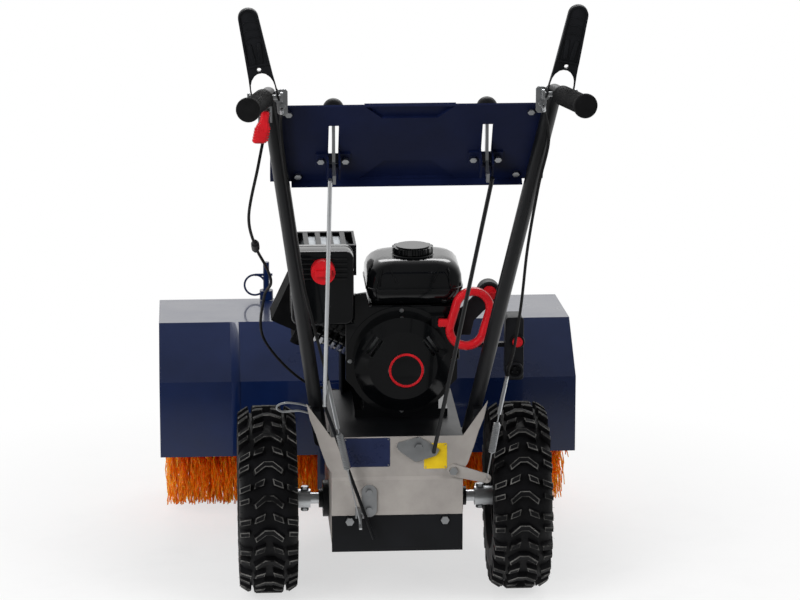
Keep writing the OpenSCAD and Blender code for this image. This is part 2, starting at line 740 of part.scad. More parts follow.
tank_foot_w = 16;
module fuel_cap() {
  color(black_paint) at_chassis() translate([tank_x, cap_y, tank_low_z + tank_h + neck_h]) {
    difference() {
      cylinder(h = cap_brim, d = cap_d);
      for (i = [0:cap_notches - 1]) rotate(360 * i / cap_notches) translate([cap_d / 2, 0, -overrun])
        cylinder(h = cap_brim + 2 * overrun, d = cap_notch_d);
    }
    translate([0, 0, cap_brim]) cylinder(h = cap_h - cap_brim, d = cap_d * cap_brim_share);
  }
}
box_left_x = -179;
box_right_x = -70;
box_low_z = 500;
box_top_z = 632;
box_chamfer = 16;
box_back_y = -62;
box_front_y = -2;
module air_box() {
  color(black_paint) at_chassis() {
    plate_xz(box_front_y, box_front_y - box_back_y, [
      [box_left_x, box_low_z], [box_right_x, box_low_z], [box_right_x, box_top_z - box_chamfer],
      [box_right_x - box_chamfer, box_top_z], [box_left_x, box_top_z]]);
    block([box_right_x, box_foot_y, deck_z + crankcase_h], [box_foot_x, box_front_y, box_low_z + box_foot_h]);
  }
}
box_foot_y = -26;
box_foot_h = 16;
box_foot_x = -40;
knob_x = -124;
knob_z = 600;
knob_d = 42;
knob_l = 22;
knob_bar_w = 10;
knob_bar_h = 8;
module choke_knob() {
  color(red_plastic) at_chassis() {
    disc_y([knob_x, box_back_y - knob_l / 2, knob_z], knob_d / 2, knob_l);
    block([knob_x - knob_d / 3, box_back_y - knob_l - knob_bar_h, knob_z - knob_bar_w / 2],
      [knob_x + knob_d / 3, box_back_y - knob_l, knob_z + knob_bar_w / 2]);
  }
}
muffler_left_x = -164;
muffler_right_x = -66;
muffler_low_z = 566;
muffler_top_z = 618;
muffler_back_y = 22;
muffler_front_y = 118;
muffler_corner_share = 0.3;
module muffler() {
  h = muffler_top_z - muffler_low_z;
  c = muffler_corner_share * h;
  color(zinc) at_chassis() {
    plate_xz(muffler_front_y, muffler_front_y - muffler_back_y, [
      [muffler_left_x + c, muffler_low_z], [muffler_right_x - c, muffler_low_z], [muffler_right_x, muffler_low_z + c],
      [muffler_right_x, muffler_top_z - c], [muffler_right_x - c, muffler_top_z], [muffler_left_x + c, muffler_top_z],
      [muffler_left_x, muffler_top_z - c], [muffler_left_x, muffler_low_z + c]]);
    along_bank() translate([head_half, 0, exhaust_at]) rotate([0, 90, 0])
      linear_extrude(exhaust_l) square(exhaust_w, center = true);
  }
}
exhaust_at = 168;
exhaust_l = 26;
exhaust_w = 24;
guard_gap = 4;
guard_t = 2.5;
guard_bars = 5;
guard_slot_share = 0.6;
module muffler_guard() {
  low = [muffler_left_x - guard_gap - guard_t, muffler_back_y - guard_gap - guard_t, muffler_low_z + guard_gap];
  high = [muffler_right_x + guard_gap, muffler_front_y + guard_gap + guard_t, muffler_top_z + guard_gap + guard_t];
  pitch = (high.x - low.x) / guard_bars;
  color(black_paint) at_chassis() {
    difference() {
      block(low, high);
      block([low.x + guard_t, low.y + guard_t, low.z - overrun], [high.x - guard_t, high.y - guard_t, high.z - guard_t]);
      for (i = [0:guard_bars - 1])
        block([low.x + (i + 0.5 - guard_slot_share / 2) * pitch, low.y - overrun, low.z + guard_lip],
          [low.x + (i + 0.5 + guard_slot_share / 2) * pitch, high.y - guard_lip, high.z - guard_lip]);
      for (i = [0:guard_bars - 1])
        block([low.x + (i + 0.5 - guard_slot_share / 2) * pitch, low.y + guard_lip, high.z - 2 * guard_lip],
          [low.x + (i + 0.5 + guard_slot_share / 2) * pitch, high.y - guard_lip, high.z + overrun]);
    }
    for (x = [[low.x, muffler_left_x], [muffler_right_x, high.x]])
      block([x[0], barrel_y - guard_lip, muffler_low_z + 5 * guard_gap],
        [x[1], barrel_y + guard_lip, muffler_low_z + 8 * guard_gap]);
  }
}
guard_lip = 8;
pull_r = 37;
pull_length = 40;
pull_grip = 15;
pull_t = 18;
pull_at = [131, -70, 511];
pull_lean = 16;
pull_stem_h = 14;
module pull_handle() {
  stem_start = pull_at.x - pull_r;
  color(red_plastic) at_chassis() {
    translate(pull_at) rotate([90, pull_lean, 0]) linear_extrude(pull_t, center = true) difference() {
      stadium(pull_r, pull_length);
      stadium(pull_r - pull_grip, pull_length);
    }
    block([crank_x + guide_x - guide_half, pull_at.y - pull_t / 3, crank_z + guide_up - pull_stem_h / 2],
      [stem_start + pull_grip / 2, pull_at.y + pull_t / 3, crank_z + guide_up + pull_stem_h / 2]);
  }
}
switch_x = [198, 230];
switch_y = [-26, 26];
switch_z = [386, 500];
switch_arm_z = [436, 444];
inlet_z = 406;
inlet_d = 30;
inlet_l = 12;
inlet_bore = 22;
key_box_x = [124, 186];
key_arm_x = [100, 136];
key_arm_t = 8;
key_arm_z = 470;
key_box_y = [-30, 4];
key_box_z = [502, 566];
key_x = 168;
key_z = 546;
key_d = 26;
key_l = 4;
key_wing = [30, 12, 9];
button_x = 219;
button_z = 456;
button_d = 18;
button_h = 9;
button_travel = 3;
button_well = 5;
module switch_box() {
  color(black_paint) at_chassis() {
    difference() {
      union() {
        block([switch_x[0], switch_y[0], switch_z[0]], [switch_x[1], switch_y[1], switch_z[1]]);
        block([crank_x + crankcase_half_w, switch_y[1] / 2, switch_arm_z[0]], [switch_x[0], switch_y[1], switch_arm_z[1]]);
        disc_y([(switch_x[0] + switch_x[1]) / 2, switch_y[0] - inlet_l / 2, inlet_z], inlet_d / 2, inlet_l);
      }
      disc_y([(switch_x[0] + switch_x[1]) / 2, switch_y[0] - inlet_l, inlet_z], inlet_bore / 2, 2 * inlet_l);
      disc_y([button_x, switch_y[0], button_z], button_d / 2 + part_gap, 2 * button_well);
    }
    block([key_box_x[0], key_box_y[0], key_box_z[0]], [key_box_x[1], key_box_y[1], key_box_z[1]]);
    block([key_arm_x[0], block_back_y, key_arm_z], [key_arm_x[1], block_back_y + key_arm_t, key_box_z[0]]);
  }
}
module start_button() {
  color(red_plastic) at_chassis()
    rod([button_x, switch_y[0] + button_well - button_travel - part_gap, button_z],
      [button_x, switch_y[0] - button_h + button_well, button_z], button_d);
}
module ignition_key() {
  color(red_plastic) at_chassis() {
    disc_y([key_x, key_box_y[0] - key_l / 2, key_z], key_d / 2, key_l);
    block([key_x - key_wing.x / 2, key_box_y[0] - key_l - key_wing.y, key_z - key_wing.z / 2],
      [key_x + key_wing.x / 2, key_box_y[0] - key_l, key_z + key_wing.z / 2]);
  }
}

// Handle
tube_foot = [foot_x, rake_y(foot_z), foot_z];
knee_share = (rake_y(grip_start.z) - grip_start.y) / (grip_dir.y + rake_share * grip_dir.z);
knee = grip_start + knee_share * grip_dir;
function tube_x_at(z) = foot_x + (z - foot_z) / (knee.z - foot_z) * (knee.x - foot_x);
module on_rake(z) { translate([0, rake_y(z), z]) rotate([rake_deg, 0, 0]) children(); }
grip_l = 112;
grip_flange_l = 8;
grip_close = 3;
paddle_along = 6;
paddle_pivot = grip_start + paddle_along * grip_dir;
paddle_pin_d = 8;
tube_end = grip_end - grip_close * grip_dir;
tube_inner_d = tube_d - 2 * tube_wall;
tube_bore_l = 80;
lug_z = 304;
lug_half = 7;
wing_lug_x = [132, 146];
wing_lug_z = 362;
module handle_tubes() {
  v = unit(knee - tube_foot);
  color(black_paint) at_chassis() both_sides() difference() {
    union() {
      bent_rod([tube_foot, knee, tube_end], tube_d);
      block([case_x, rake_y(lug_z) - lug_half, lug_z - lug_half],
        [tube_x_at(lug_z), rake_y(lug_z) + lug_half, lug_z + lug_half]);
      block([wing_lug_x[0], sheet - case_back, wing_lug_z - lug_half],
        [wing_lug_x[1], rake_y(wing_lug_z), wing_lug_z + lug_half]);
    }
    rod(tube_foot - overrun * v, knee - tube_d * v, tube_inner_d);
    rod(tube_end - tube_bore_l * grip_dir, tube_end + overrun * grip_dir, tube_inner_d);
    disc_x(paddle_pivot, paddle_pin_d / 2 + run_gap, 3 * tube_d);
  }
}
module grips() {
  color(rubber_black) at_chassis() both_sides() difference() {
    union() {
      rod(grip_end - grip_l * grip_dir, grip_end, grip_d);
      rod(grip_end - grip_flange_l * grip_dir, grip_end, grip_flange_d);
    }
    rod(grip_end - (grip_l + overrun) * grip_dir, tube_end, tube_d + 2 * run_gap);
  }
}
dash_t = 2;
dash_seat = 0.3;
dash_z = 829;
dash_rear = tube_d / 2 + dash_seat;
dash_lip = 14;
dash_top_lip = 4;
slot_w = 16;
slot_low = 11;
slot_high = 76;
lever_z = 872;
lever_back = 11;
angle_x = -121;
speed_x = 126;
bracket_t = 3;
bracket_half_w = 11;
bracket_bolt_half = 20;
bracket_foot_half = 28;
bracket_h = 34;
bracket_low = 14;
bracket_high = 20;
bracket_open = 10;
lever_t = 5;
lever_pin_d = 8;
lever_y = rake_y(lever_z) - lever_back;
dash_slot_x = [angle_x, speed_x];
top_recess_shares = [[-0.32, 0.985], [0.32, 0.985], [0.2, 0.84], [-0.2, 0.84]];
low_recess_shares = [[-0.35, 0.03], [0.35, 0.03], [0.17, 0.27], [-0.17, 0.27]];
recess_depth = 5;
function dash_outline(shares, grow) = let (middle = (shares[0][1] + shares[2][1]) / 2) [for (q = shares)
  [q[0] * dash_w / 2 + sign(q[0]) * grow, q[1] * dash_h + sign(q[1] - middle) * grow]];
module dash_panel() {
  lever_h = (lever_z - dash_z) / cos(rake_deg);
  low_half = tube_x_at(dash_z) - tube_d / 2 - overrun;
  color(blue_paint) at_chassis() on_rake(dash_z) {
    difference() {
      union() {
        block([-dash_w / 2, dash_rear, 0], [dash_w / 2, dash_rear + dash_t, dash_h]);
        block([-dash_w / 2, dash_rear, dash_h - dash_t], [dash_w / 2, dash_rear + dash_top_lip, dash_h]);
        block([-low_half, dash_rear - dash_lip, 0], [low_half, dash_rear + dash_t, dash_t]);
        for (s = [-1, 1]) block([s * dash_w / 2 - (s > 0 ? dash_t : 0), dash_rear, 0],
          [s * dash_w / 2 + (s > 0 ? 0 : dash_t), dash_rear + dash_lip, dash_h]);
        for (shares = [top_recess_shares, low_recess_shares])
          plate_xz(dash_rear + dash_t + recess_depth, recess_depth + dash_t, dash_outline(shares, dash_t));
      }
      for (shares = [top_recess_shares, low_recess_shares])
        plate_xz(dash_rear + recess_depth, recess_depth + overrun, dash_outline(shares, 0));
      for (x = dash_slot_x) block([x - slot_w / 2, dash_rear - overrun, lever_h + slot_low],
        [x + slot_w / 2, dash_rear + dash_t + overrun, lever_h + slot_high]);
    }
  }
}

// Brackets and pivot pins
cheek_in = 19;
cheek_t = 3;
paddle_pin_over = 2;
paddle_pin_l = 2 * (cheek_in + cheek_t + paddle_pin_over);
pin_washer_d = 16;
pin_washer_t = 4;
trigger_pin_d = 6;
wire_d = 4;
oval_r = 13;
clutch_pin_x = -66;
clutch_pin_z = 190;
clutch_ear_t = 3;
clutch_ear_half = 6;
clutch_ear_l = 15;
clutch_ear_h = 9;
clutch_pin_out = 8;
module lever_brackets() {
  color(zinc) at_chassis() {
    for (x = dash_slot_x) {
      on_rake(lever_z) difference() {
        block([x - bracket_half_w, dash_rear - bracket_h, -bracket_low], [x + bracket_half_w, dash_rear, bracket_high]);
        block([x - bracket_half_w + bracket_t, dash_rear - bracket_h - overrun, -bracket_low - overrun],
          [x + bracket_half_w - bracket_t, dash_rear - bracket_t, bracket_high + overrun]);
        block([x - bracket_half_w + bracket_t, dash_rear - bracket_h, bracket_open],
          [x + bracket_half_w - bracket_t, dash_rear + overrun, bracket_high + overrun]);
      }
      on_rake(lever_z) for (s = [-1, 1])
        block([x + (s > 0 ? bracket_half_w : -bracket_foot_half), dash_rear - bracket_t, -bracket_low],
          [x + (s > 0 ? bracket_foot_half : -bracket_half_w), dash_rear, bracket_low]);
      disc_x([x, lever_y, lever_z], lever_pin_d / 2, 2 * bracket_half_w);
    }
    both_sides() {
      disc_x(paddle_pivot, paddle_pin_d / 2, paddle_pin_l);
      for (s = [-1, 1]) disc_x(paddle_pivot + [s * (paddle_pin_l + pin_washer_t) / 2, 0, 0], pin_washer_d / 2, pin_washer_t);
    }
    plate_oval();
    for (s = [-1, 1]) block([clutch_pin_x + s * clutch_ear_half - clutch_ear_t / 2, -case_back - crease_step - clutch_ear_l,
      clutch_pin_z - clutch_ear_h], [clutch_pin_x + s * clutch_ear_half + clutch_ear_t / 2, -case_back - crease_step,
      clutch_pin_z + clutch_ear_h]);
    disc_x([clutch_pin_x, -case_back - crease_step - clutch_pin_out, clutch_pin_z], trigger_pin_d / 2,
      2 * clutch_ear_half - clutch_ear_t);
    trigger_bracket();
    adjuster(left_clutch_route[len(left_clutch_route) - 1], brush_spring_top);
    adjuster(right_clutch_route[len(right_clutch_route) - 1], drive_spring_top);
  }
}
adjuster_d = 7;
module adjuster(from, to) {
  v = unit(to - from);
  rod(from + part_gap * v, to - part_gap * v, adjuster_d);
}
module plate_oval() {
  translate([oval_x, -case_back - crease_step, oval_z]) rotate([90, 0, 0]) linear_extrude(oval_t)
    stadium(oval_r, 2 * oval_bolt_half);
}
trigger_ear_t = 3;
trigger_ear_half = 11;
trigger_ear_h = 26;
trigger_ear_l = 12;
trigger_along = 7;
trigger_seat = 0.6;
trigger_drop = 14;
left_start = [-grip_start.x, grip_start.y, grip_start.z];
left_dir = [-grip_dir.x, grip_dir.y, grip_dir.z];
trigger_tube = left_start + trigger_along * left_dir;
trigger_pivot = trigger_tube - [0, 0, tube_d / 2 + trigger_drop];
module trigger_bracket() {
  ear_top = trigger_tube.z - tube_d / 2 - trigger_seat;
  block([trigger_tube.x - trigger_ear_half, trigger_tube.y - trigger_ear_l / 2, ear_top - trigger_ear_t],
    [trigger_tube.x + trigger_ear_half, trigger_tube.y + trigger_ear_l / 2, ear_top]);
  for (s = [-1, 1]) block([trigger_tube.x + s * (trigger_ear_half - trigger_ear_t / 2) - trigger_ear_t / 2,
    trigger_tube.y - trigger_ear_l / 2, ear_top - trigger_ear_h],
    [trigger_tube.x + s * (trigger_ear_half - trigger_ear_t / 2) + trigger_ear_t / 2,
    trigger_tube.y + trigger_ear_l / 2, ear_top]);
  disc_x(trigger_pivot, trigger_pin_d / 2, 2 * trigger_ear_half - trigger_ear_t);
}

// Clutch paddles
paddle_low_w = 2 * (cheek_in + cheek_t);
paddle_high_w = 30;
paddle_h = 150;
paddle_t = 8;
paddle_arch_z = 42;
paddle_hole_z = 52;
paddle_hole_d = 7;
paddle_lean_out = 11;
paddle_lean_back = 8;
paddle_top_r = paddle_high_w / 2;
paddle_rib_count = 7;
paddle_rib_first = 84;
paddle_rib_pitch = 9;
paddle_rib_h = 3;
paddle_rib_t = 2;
paddle_foot_r = 10;
module paddle() {
  top_z_local = paddle_h - paddle_top_r;
  translate(paddle_pivot) rotate([paddle_lean_back, 0, 0]) rotate([0, paddle_lean_out, 0]) difference() {
    union() {
      difference() {
        translate([0, paddle_t / 2, 0]) rotate([90, 0, 0]) linear_extrude(paddle_t) union() {
          polygon([[-paddle_low_w / 2, 0], [paddle_low_w / 2, 0], [paddle_high_w / 2, top_z_local],
            [-paddle_high_w / 2, top_z_local]]);
          translate([0, top_z_local]) circle(paddle_top_r);
        }
        block([-cheek_in, -paddle_t, -overrun], [cheek_in, paddle_t, paddle_arch_z - cheek_in]);
        disc_y([0, 0, paddle_arch_z - cheek_in], cheek_in, 2 * paddle_t);
        disc_y([0, 0, paddle_hole_z], paddle_hole_d / 2, 2 * paddle_t);
      }
      for (s = [-1, 1]) disc_x([s * (cheek_in + cheek_t / 2), 0, 0], paddle_foot_r, cheek_t);
      for (i = [0:paddle_rib_count - 1]) let (z = paddle_rib_first + i * paddle_rib_pitch)
        block([-paddle_high_w / 2, -paddle_t / 2 - paddle_rib_h, z], [paddle_high_w / 2, 0, z + paddle_rib_t]);
    }
    rotate([0, -paddle_lean_out, 0]) disc_x([0, 0, 0], paddle_pin_d / 2 + run_gap, 2 * paddle_low_w);
  }
}
module left_paddle() { color(black_paint) at_chassis() mirror([1, 0, 0]) paddle(); }
module right_paddle() { color(black_paint) at_chassis() paddle(); }
trigger_w = 14;
trigger_shares = [[0.35, 0.12], [0.3, -0.25], [-0.1, -1], [-0.45, -0.95], [-0.5, -0.1], [-0.25, 0.12]];
trigger_l = 46;
trigger_depth = 24;
module trigger() {
  color(red_plastic) at_chassis() difference() {
    translate(trigger_pivot) plate_yz(-trigger_w / 2, trigger_w,
      [for (q = trigger_shares) [q[0] * trigger_depth, q[1] * trigger_l]]);
    disc_x(trigger_pivot, trigger_pin_d / 2 + run_gap, 2 * trigger_w);
  }
}

// Dash levers, rods and the speed crank
lever_up = 82;
lever_half = 8;
joint_back = 25;
joint_down = 17;
ball_r = 17;
ball_flat = 12;
module lever(x) {
  difference() {
    translate([0, lever_y, lever_z]) plate_yz(x - lever_t / 2, lever_t, [
      [lever_half, -lever_half], [lever_half, lever_up], [-lever_half, lever_up], [-lever_half, lever_half],
      [-joint_back - lever_half, lever_half - joint_down], [-joint_back, -joint_down - lever_half]]);
    disc_x([x, lever_y, lever_z], lever_pin_d / 2 + run_gap, 4 * lever_t);
  }
}
module knob(x) {
  translate([x, lever_y, lever_z + lever_up + ball_flat]) difference() {
    sphere(ball_r);
    block([-ball_r, -ball_r, -2 * ball_r], [ball_r, ball_r, -ball_flat]);
  }
}
module angle_lever() { color(zinc) at_chassis() lever(angle_x); }
module angle_knob() { color(black_paint) at_chassis() knob(angle_x); }
module speed_lever() { color(zinc) at_chassis() lever(speed_x); }
module speed_knob() { color(black_paint) at_chassis() knob(speed_x); }
rod_d = 7;
lower_rod_d = 6;
lever_joint = [0, lever_y - joint_back, lever_z - joint_down];
angle_rod_top = lever_joint + [angle_x - lever_t / 2 - part_gap - rod_d / 2, 0, 0];
rod_low_back = 172;
angle_low_left = 126;
angle_low_z = 386;
angle_end_left = 42;
angle_end_back = 176;
angle_end_z = 146;
speed_low_x = 62;
speed_low_z = 300;
speed_rod_gap = 1.5;
angle_rod_low = [-angle_low_left, -rod_low_back, angle_low_z];
angle_rod_end = [-angle_end_left, -angle_end_back, angle_end_z];
speed_rod_top = lever_joint + [speed_x + lever_t / 2 + speed_rod_gap + rod_d / 2, 0, 0];
speed_rod_low = [speed_low_x, -rod_low_back, speed_low_z];
module angle_rod() {
  color(zinc) at_chassis() {
    rod(angle_rod_top, angle_rod_low, rod_d);
    translate(angle_rod_low) sphere(d = rod_d + 2 * part_gap);
    rod(angle_rod_low, angle_rod_end, lower_rod_d);
  }
}
module speed_rod() { color(black_paint) at_chassis() rod(speed_rod_top, speed_rod_low, rod_d); }
crank_stud_x = 25;
crank_stud_drop = 7;
crank_stud_l = 13;
crank_stud_d = 6;
crank_points = [[-38, 0], [-36, 8], [0, 18], [24, 4], [36, -6], [30, -16], [-5, -27], [-32, -8]];
module speed_crank() {
  back = panel_back_y - crank_plate_gap;
  color(zinc) at_chassis() difference() {
    translate([crank_pivot_x, 0, crank_pivot_z]) {
      plate_xz(back, crank_plate_t, crank_points);
      rod([crank_stud_x, back - crank_plate_t / 2, -crank_stud_drop], [crank_stud_x, back - crank_stud_l, -crank_stud_drop],
        crank_stud_d);
    }
    disc_y([crank_pivot_x, back, crank_pivot_z], crank_pin_d / 2 + run_gap, 4 * crank_plate_t);
  }
}

// Clutch arms and springs
arm_l = 58;
arm_drop = 16;
arm_r = 11;
arm_tip_r = 8;
arm_stud_d = 5;
arm_stud_l = 12;
module drive_clutch_arm() {
  back = panel_back_y - arm_gap;
  tip = [arm_l, -arm_drop];
  n = edge_normal([0, 0], tip);
  color(grey_paint) at_chassis() difference() {
    translate([arm_pivot_x, back, arm_pivot_z]) rotate([90, 0, 0]) linear_extrude(arm_t) union() {
      circle(arm_r);
      translate(tip) circle(arm_tip_r);
      polygon([-arm_r * n, -arm_tip_r * n + tip, arm_tip_r * n + tip, arm_r * n]);
    }
    disc_y([arm_pivot_x, back, arm_pivot_z], crank_pin_d / 2 + run_gap, 4 * arm_t);
  }
  color(zinc) at_chassis() translate([arm_pivot_x + tip[0], back - arm_t, arm_pivot_z + tip[1]])
    rotate([90, 0, 0]) cylinder(h = arm_stud_l, d = arm_stud_d);
}
clutch_arm_t = 5;
clutch_arm_r = 7;
clutch_arm_tip = [-29, -18];
clutch_tip_r = 4;
module brush_clutch_arm() {
  at = [clutch_pin_x, -case_back - crease_step - clutch_pin_out, clutch_pin_z];
  n = edge_normal([0, 0], clutch_arm_tip);
  color(zinc) at_chassis() difference() {
    union() {
      disc_x(at, clutch_arm_r, clutch_arm_t);
      disc_x(at + [0, clutch_arm_tip[0], clutch_arm_tip[1]], clutch_tip_r, clutch_arm_t);
      translate(at) plate_yz(-clutch_arm_t / 2, clutch_arm_t, [-clutch_arm_r * n, -clutch_tip_r * n + clutch_arm_tip,
        clutch_tip_r * n + clutch_arm_tip, clutch_arm_r * n]);
    }
    disc_x(at, trigger_pin_d / 2 + run_gap, 4 * clutch_arm_t);
  }
}
wire = 2.4;
coil_r = 5.4;
coil_pitch = 3;
rings_per_curl = 8;
wire_sides = 6;
drive_spring_back = 164;
drive_top_x = 175;
drive_top_z = 364;
drive_end_x = 155;
drive_end_z = 250.5;
brush_spring_back = 190;
brush_top_left = 104;
brush_top_z = 350;
brush_end_left = 66;
brush_end_z = 178;
drive_spring_top = [drive_top_x, -drive_spring_back, drive_top_z];
drive_spring_end = [drive_end_x, -drive_spring_back, drive_end_z];
drive_lead = 14;
drive_tail = 44;
brush_spring_top = [-brush_top_left, -brush_spring_back, brush_top_z];
brush_spring_end = [-brush_end_left, -brush_spring_back, brush_end_z];
brush_lead = 8;
brush_tail = 100;
function spring_points(top, end, lead, tail) =
  let (length = norm(end - top), t = (end - top) / length, s = side_of(t), u = cross(t, s),
       body = length - lead - tail, turns = floor(body / coil_pitch), steps = turns * rings_per_curl)
  concat([top], [for (i = [0:steps])
    let (a = 360 * i / rings_per_curl, ease = min(1, i / rings_per_curl, (steps - i) / rings_per_curl))
    top + (lead + body * i / steps) * t + coil_r * ease * (cos(a) * s + sin(a) * u)], [end]);
function gap_at(points, i) = min([for (j = [i + rings_per_curl - 2:min(i + rings_per_curl + 2, len(points) - 1)])
  norm(points[j] - points[i])]) - wire;
function self_gap(points) = min([for (i = [1:len(points) - rings_per_curl - 2]) gap_at(points, i)]);
drive_coil = spring_points(drive_spring_top, drive_spring_end, drive_lead, drive_tail);
brush_coil = spring_points(brush_spring_top, brush_spring_end, brush_lead, brush_tail);
module drive_spring() {
  echo(drive_spring_self_gap = self_gap(drive_coil));
  color(zinc) at_chassis() swept_tube(drive_coil, wire, wire_sides);
}
module brush_spring() {
  echo(brush_spring_self_gap = self_gap(brush_coil));
  color(zinc) at_chassis() swept_tube(brush_coil, wire, wire_sides);
}

// Control cables along the handle
cable_d = 5;
cable_sides = 8;
cable_steps = 3;
left_clutch_route = [
  [-206, -574, 988], [-207, -530, 950], [-199, -472, 866], [-188, -420, 790], [-170, -334, 660],
  [-140, -240, 520], [-124.6, -190, 451.5], [-121.8, -190, 437.7], [-119, -190, 424]];
right_clutch_route = [
  [206, -574, 988], [222, -508, 920], [212, -450, 832], [203, -368, 710], [200, -290, 590], [194, -220, 490],
  [191.4, -167, 447.4], [188.7, -166.5, 433.7], [186, -166, 420]];
trigger_route = [
  [-233, -560, 950], [-244, -545, 890], [-258, -460, 790], [-246, -360, 716], [-226, -260, 655],
  [-216, -150, 600], [-226, -40, 545], [-224, 80, 440], [-150, 190, 330], [-62, 226, 294], [-35, 210, 279.5]];
module control_cables() {
  color(rubber_black) at_chassis() {
    for (route = [left_clutch_route, right_clutch_route, trigger_route])
      swept_tube(smooth(route, cable_steps), cable_d, cable_sides);
  }
}

// Brush drive and brush
shaft_coupling_d = 32;
shaft_coupling_l = 14;
coupling_back = 14;
module brush_pulley() {
  end_y = swivel_reach - coupling_back;
  color(zinc) at_chassis() {
    pulley([head_x, brush_belt_y, brush_z], brush_pulley_r);
    rod([head_x, brush_belt_y - pulley_w / 2, brush_z], [head_x, end_y, brush_z], brush_shaft_d);
    rod([head_x, end_y - shaft_coupling_l, brush_z], [head_x, end_y, brush_z], shaft_coupling_d);
  }
}
input_d = 18;
ball_joint_r = 12;
gearbox_r = 46;
gearbox_w = 46;
gearbox_tube_d = 48;
gearbox_bore_d = 28;
input_end_back = 26;
module input_shaft() {
  color(zinc) at_head() {
    translate([0, swivel_reach, brush_z]) sphere(ball_joint_r);
    rod([0, swivel_reach, brush_z], [0, brush_reach - input_end_back, brush_z], input_d);
  }
}
frame_half_w = 95;
frame_top_z = 300;
frame_t = 7;
ear_half_w = 28;
hood_back = 284;
frame_low_z = 96;
ear_bore_r = swivel_pin_d / 2 + run_gap;
ear_back = 18;
module head_ear(z) {
  difference() {
    block([-ear_half_w, swivel_reach - ear_back, z], [ear_half_w, hood_back - frame_t, z + ear_t]);
    disc_z([0, swivel_reach, z], ear_bore_r, 4 * ear_t);
  }
}
module head_frame() {
  color(blue_paint) at_head() {
    difference() {
      block([-frame_half_w, hood_back - frame_t, frame_low_z], [frame_half_w, hood_back, frame_top_z]);
      disc_y([0, hood_back, brush_z], gearbox_bore_d / 2, 4 * frame_t);
    }
    head_ear(yoke_top_z - ear_gap - ear_t);
    head_ear(yoke_low_z + yoke_t + ear_gap);
  }
}
hood_low_z = 161;
hood_fold_z = 304;
hood_crown_y = 413;
hood_crown_z = 384;
hood_front_z = 361;
hood_cheek_y = 640;
hood_cheek_z = 250;
hood_t = 3;
notch_half_w = 30;
notch_top_z = 212;
hood_line = [[hood_back, hood_low_z], [hood_back, hood_fold_z], [hood_crown_y, hood_crown_z], [hood_front_y, hood_front_z]];
bin_hole_d = 9;
bin_hole_y = 400;
bin_hole_run = 180;
bin_hole_low = 230;
bin_hole_rise = 60;
module hood() {
  cheek = concat(hood_line, [[hood_front_y, hood_cheek_z], [hood_cheek_y, hood_low_z]]);
  color(blue_paint) at_head() difference() {
    union() {
      plate_yz(-hood_w / 2, hood_w, sheet_outline(hood_line, hood_t));
      for (x = [-hood_w / 2, hood_w / 2 - hood_t]) plate_yz(x, hood_t, cheek);
    }
    block([-notch_half_w, hood_back - overrun, hood_low_z - overrun], [notch_half_w, hood_back + hood_t + overrun, notch_top_z]);
    for (s = [-1, 1]) {
      disc_z([s * post_x, post_reach, hood_front_z], rod_hole_r, 8 * hood_t);
      for (h = [0, bin_hole_rise], y = [bin_hole_y, bin_hole_y + bin_hole_run])
        disc_x([s * hood_w / 2, y, bin_hole_low + h], bin_hole_d / 2, 4 * hood_t);
    }
  }
}
post_rod_d = 12;
rod_hole_r = post_rod_d / 2 + part_gap;
module brush_gearbox() {
  color(black_paint) at_head() difference() {
    union() {
      disc_x([0, brush_reach, brush_z], gearbox_r, gearbox_w);
      rod([0, hood_back, brush_z], [0, brush_reach, brush_z], gearbox_tube_d);
    }
    disc_x([0, brush_reach, brush_z], cross_shaft_d / 2 + run_gap, 2 * gearbox_w);
    rod([0, hood_back - overrun, brush_z], [0, brush_reach - input_end_back + overrun, brush_z], gearbox_bore_d);
  }
}
cross_shaft_d = 30;
brush_side_gap = 8;
brush_end_gap = 7;
core_wall = 5;
half_inner = gearbox_w / 2 + brush_side_gap;
half_outer = hood_w / 2 - hood_t - brush_end_gap;
half_l = half_outer - half_inner;
core_disc_t = 6;
module brush_shaft() {
  color(zinc) at_head() translate([0, brush_reach, brush_z]) {
    disc_x([0, 0, 0], cross_shaft_d / 2, 2 * half_outer);
    for (s = [-1, 1], x = [half_inner + core_disc_t / 2, half_outer - core_disc_t / 2])
      disc_x([s * x, 0, 0], (core_d / 2 - core_wall) * cos(180 / strands_round) - run_gap, core_disc_t);
  }
}
// Rings alternate along the core: a gap row, then a row whose cells rise into strands
core_r = core_d / 2;
strand_tip_r = brush_d / 2;
strand_tip_in = 1;
tip_size = 7;
gap_row_share = 0.35;
row_l = half_l / strand_rings;
function cell_x(row) = half_inner + floor(row / 2) * row_l + (row % 2) * gap_row_share * row_l;
function brush_ring(x, r) = [for (k = [0:strands_round - 1]) let (a = 360 * k / strands_round) [x, r * cos(a), r * sin(a)]];
function strand_tip(row, k) =
  let (x = (cell_x(row) + cell_x(row + 1)) / 2, a = 360 * (k + 0.5) / strands_round,
    r = strand_tip_r - strand_tip_in,
       c = [x, r * cos(a), r * sin(a)], t = [0, -sin(a), cos(a)], h = tip_size / 2)
  [c - h * t - [h, 0, 0], c + h * t - [h, 0, 0], c + h * t + [h, 0, 0], c - h * t + [h, 0, 0]];
function quad(a, b, c, d) = [[a, b, c], [a, c, d]];
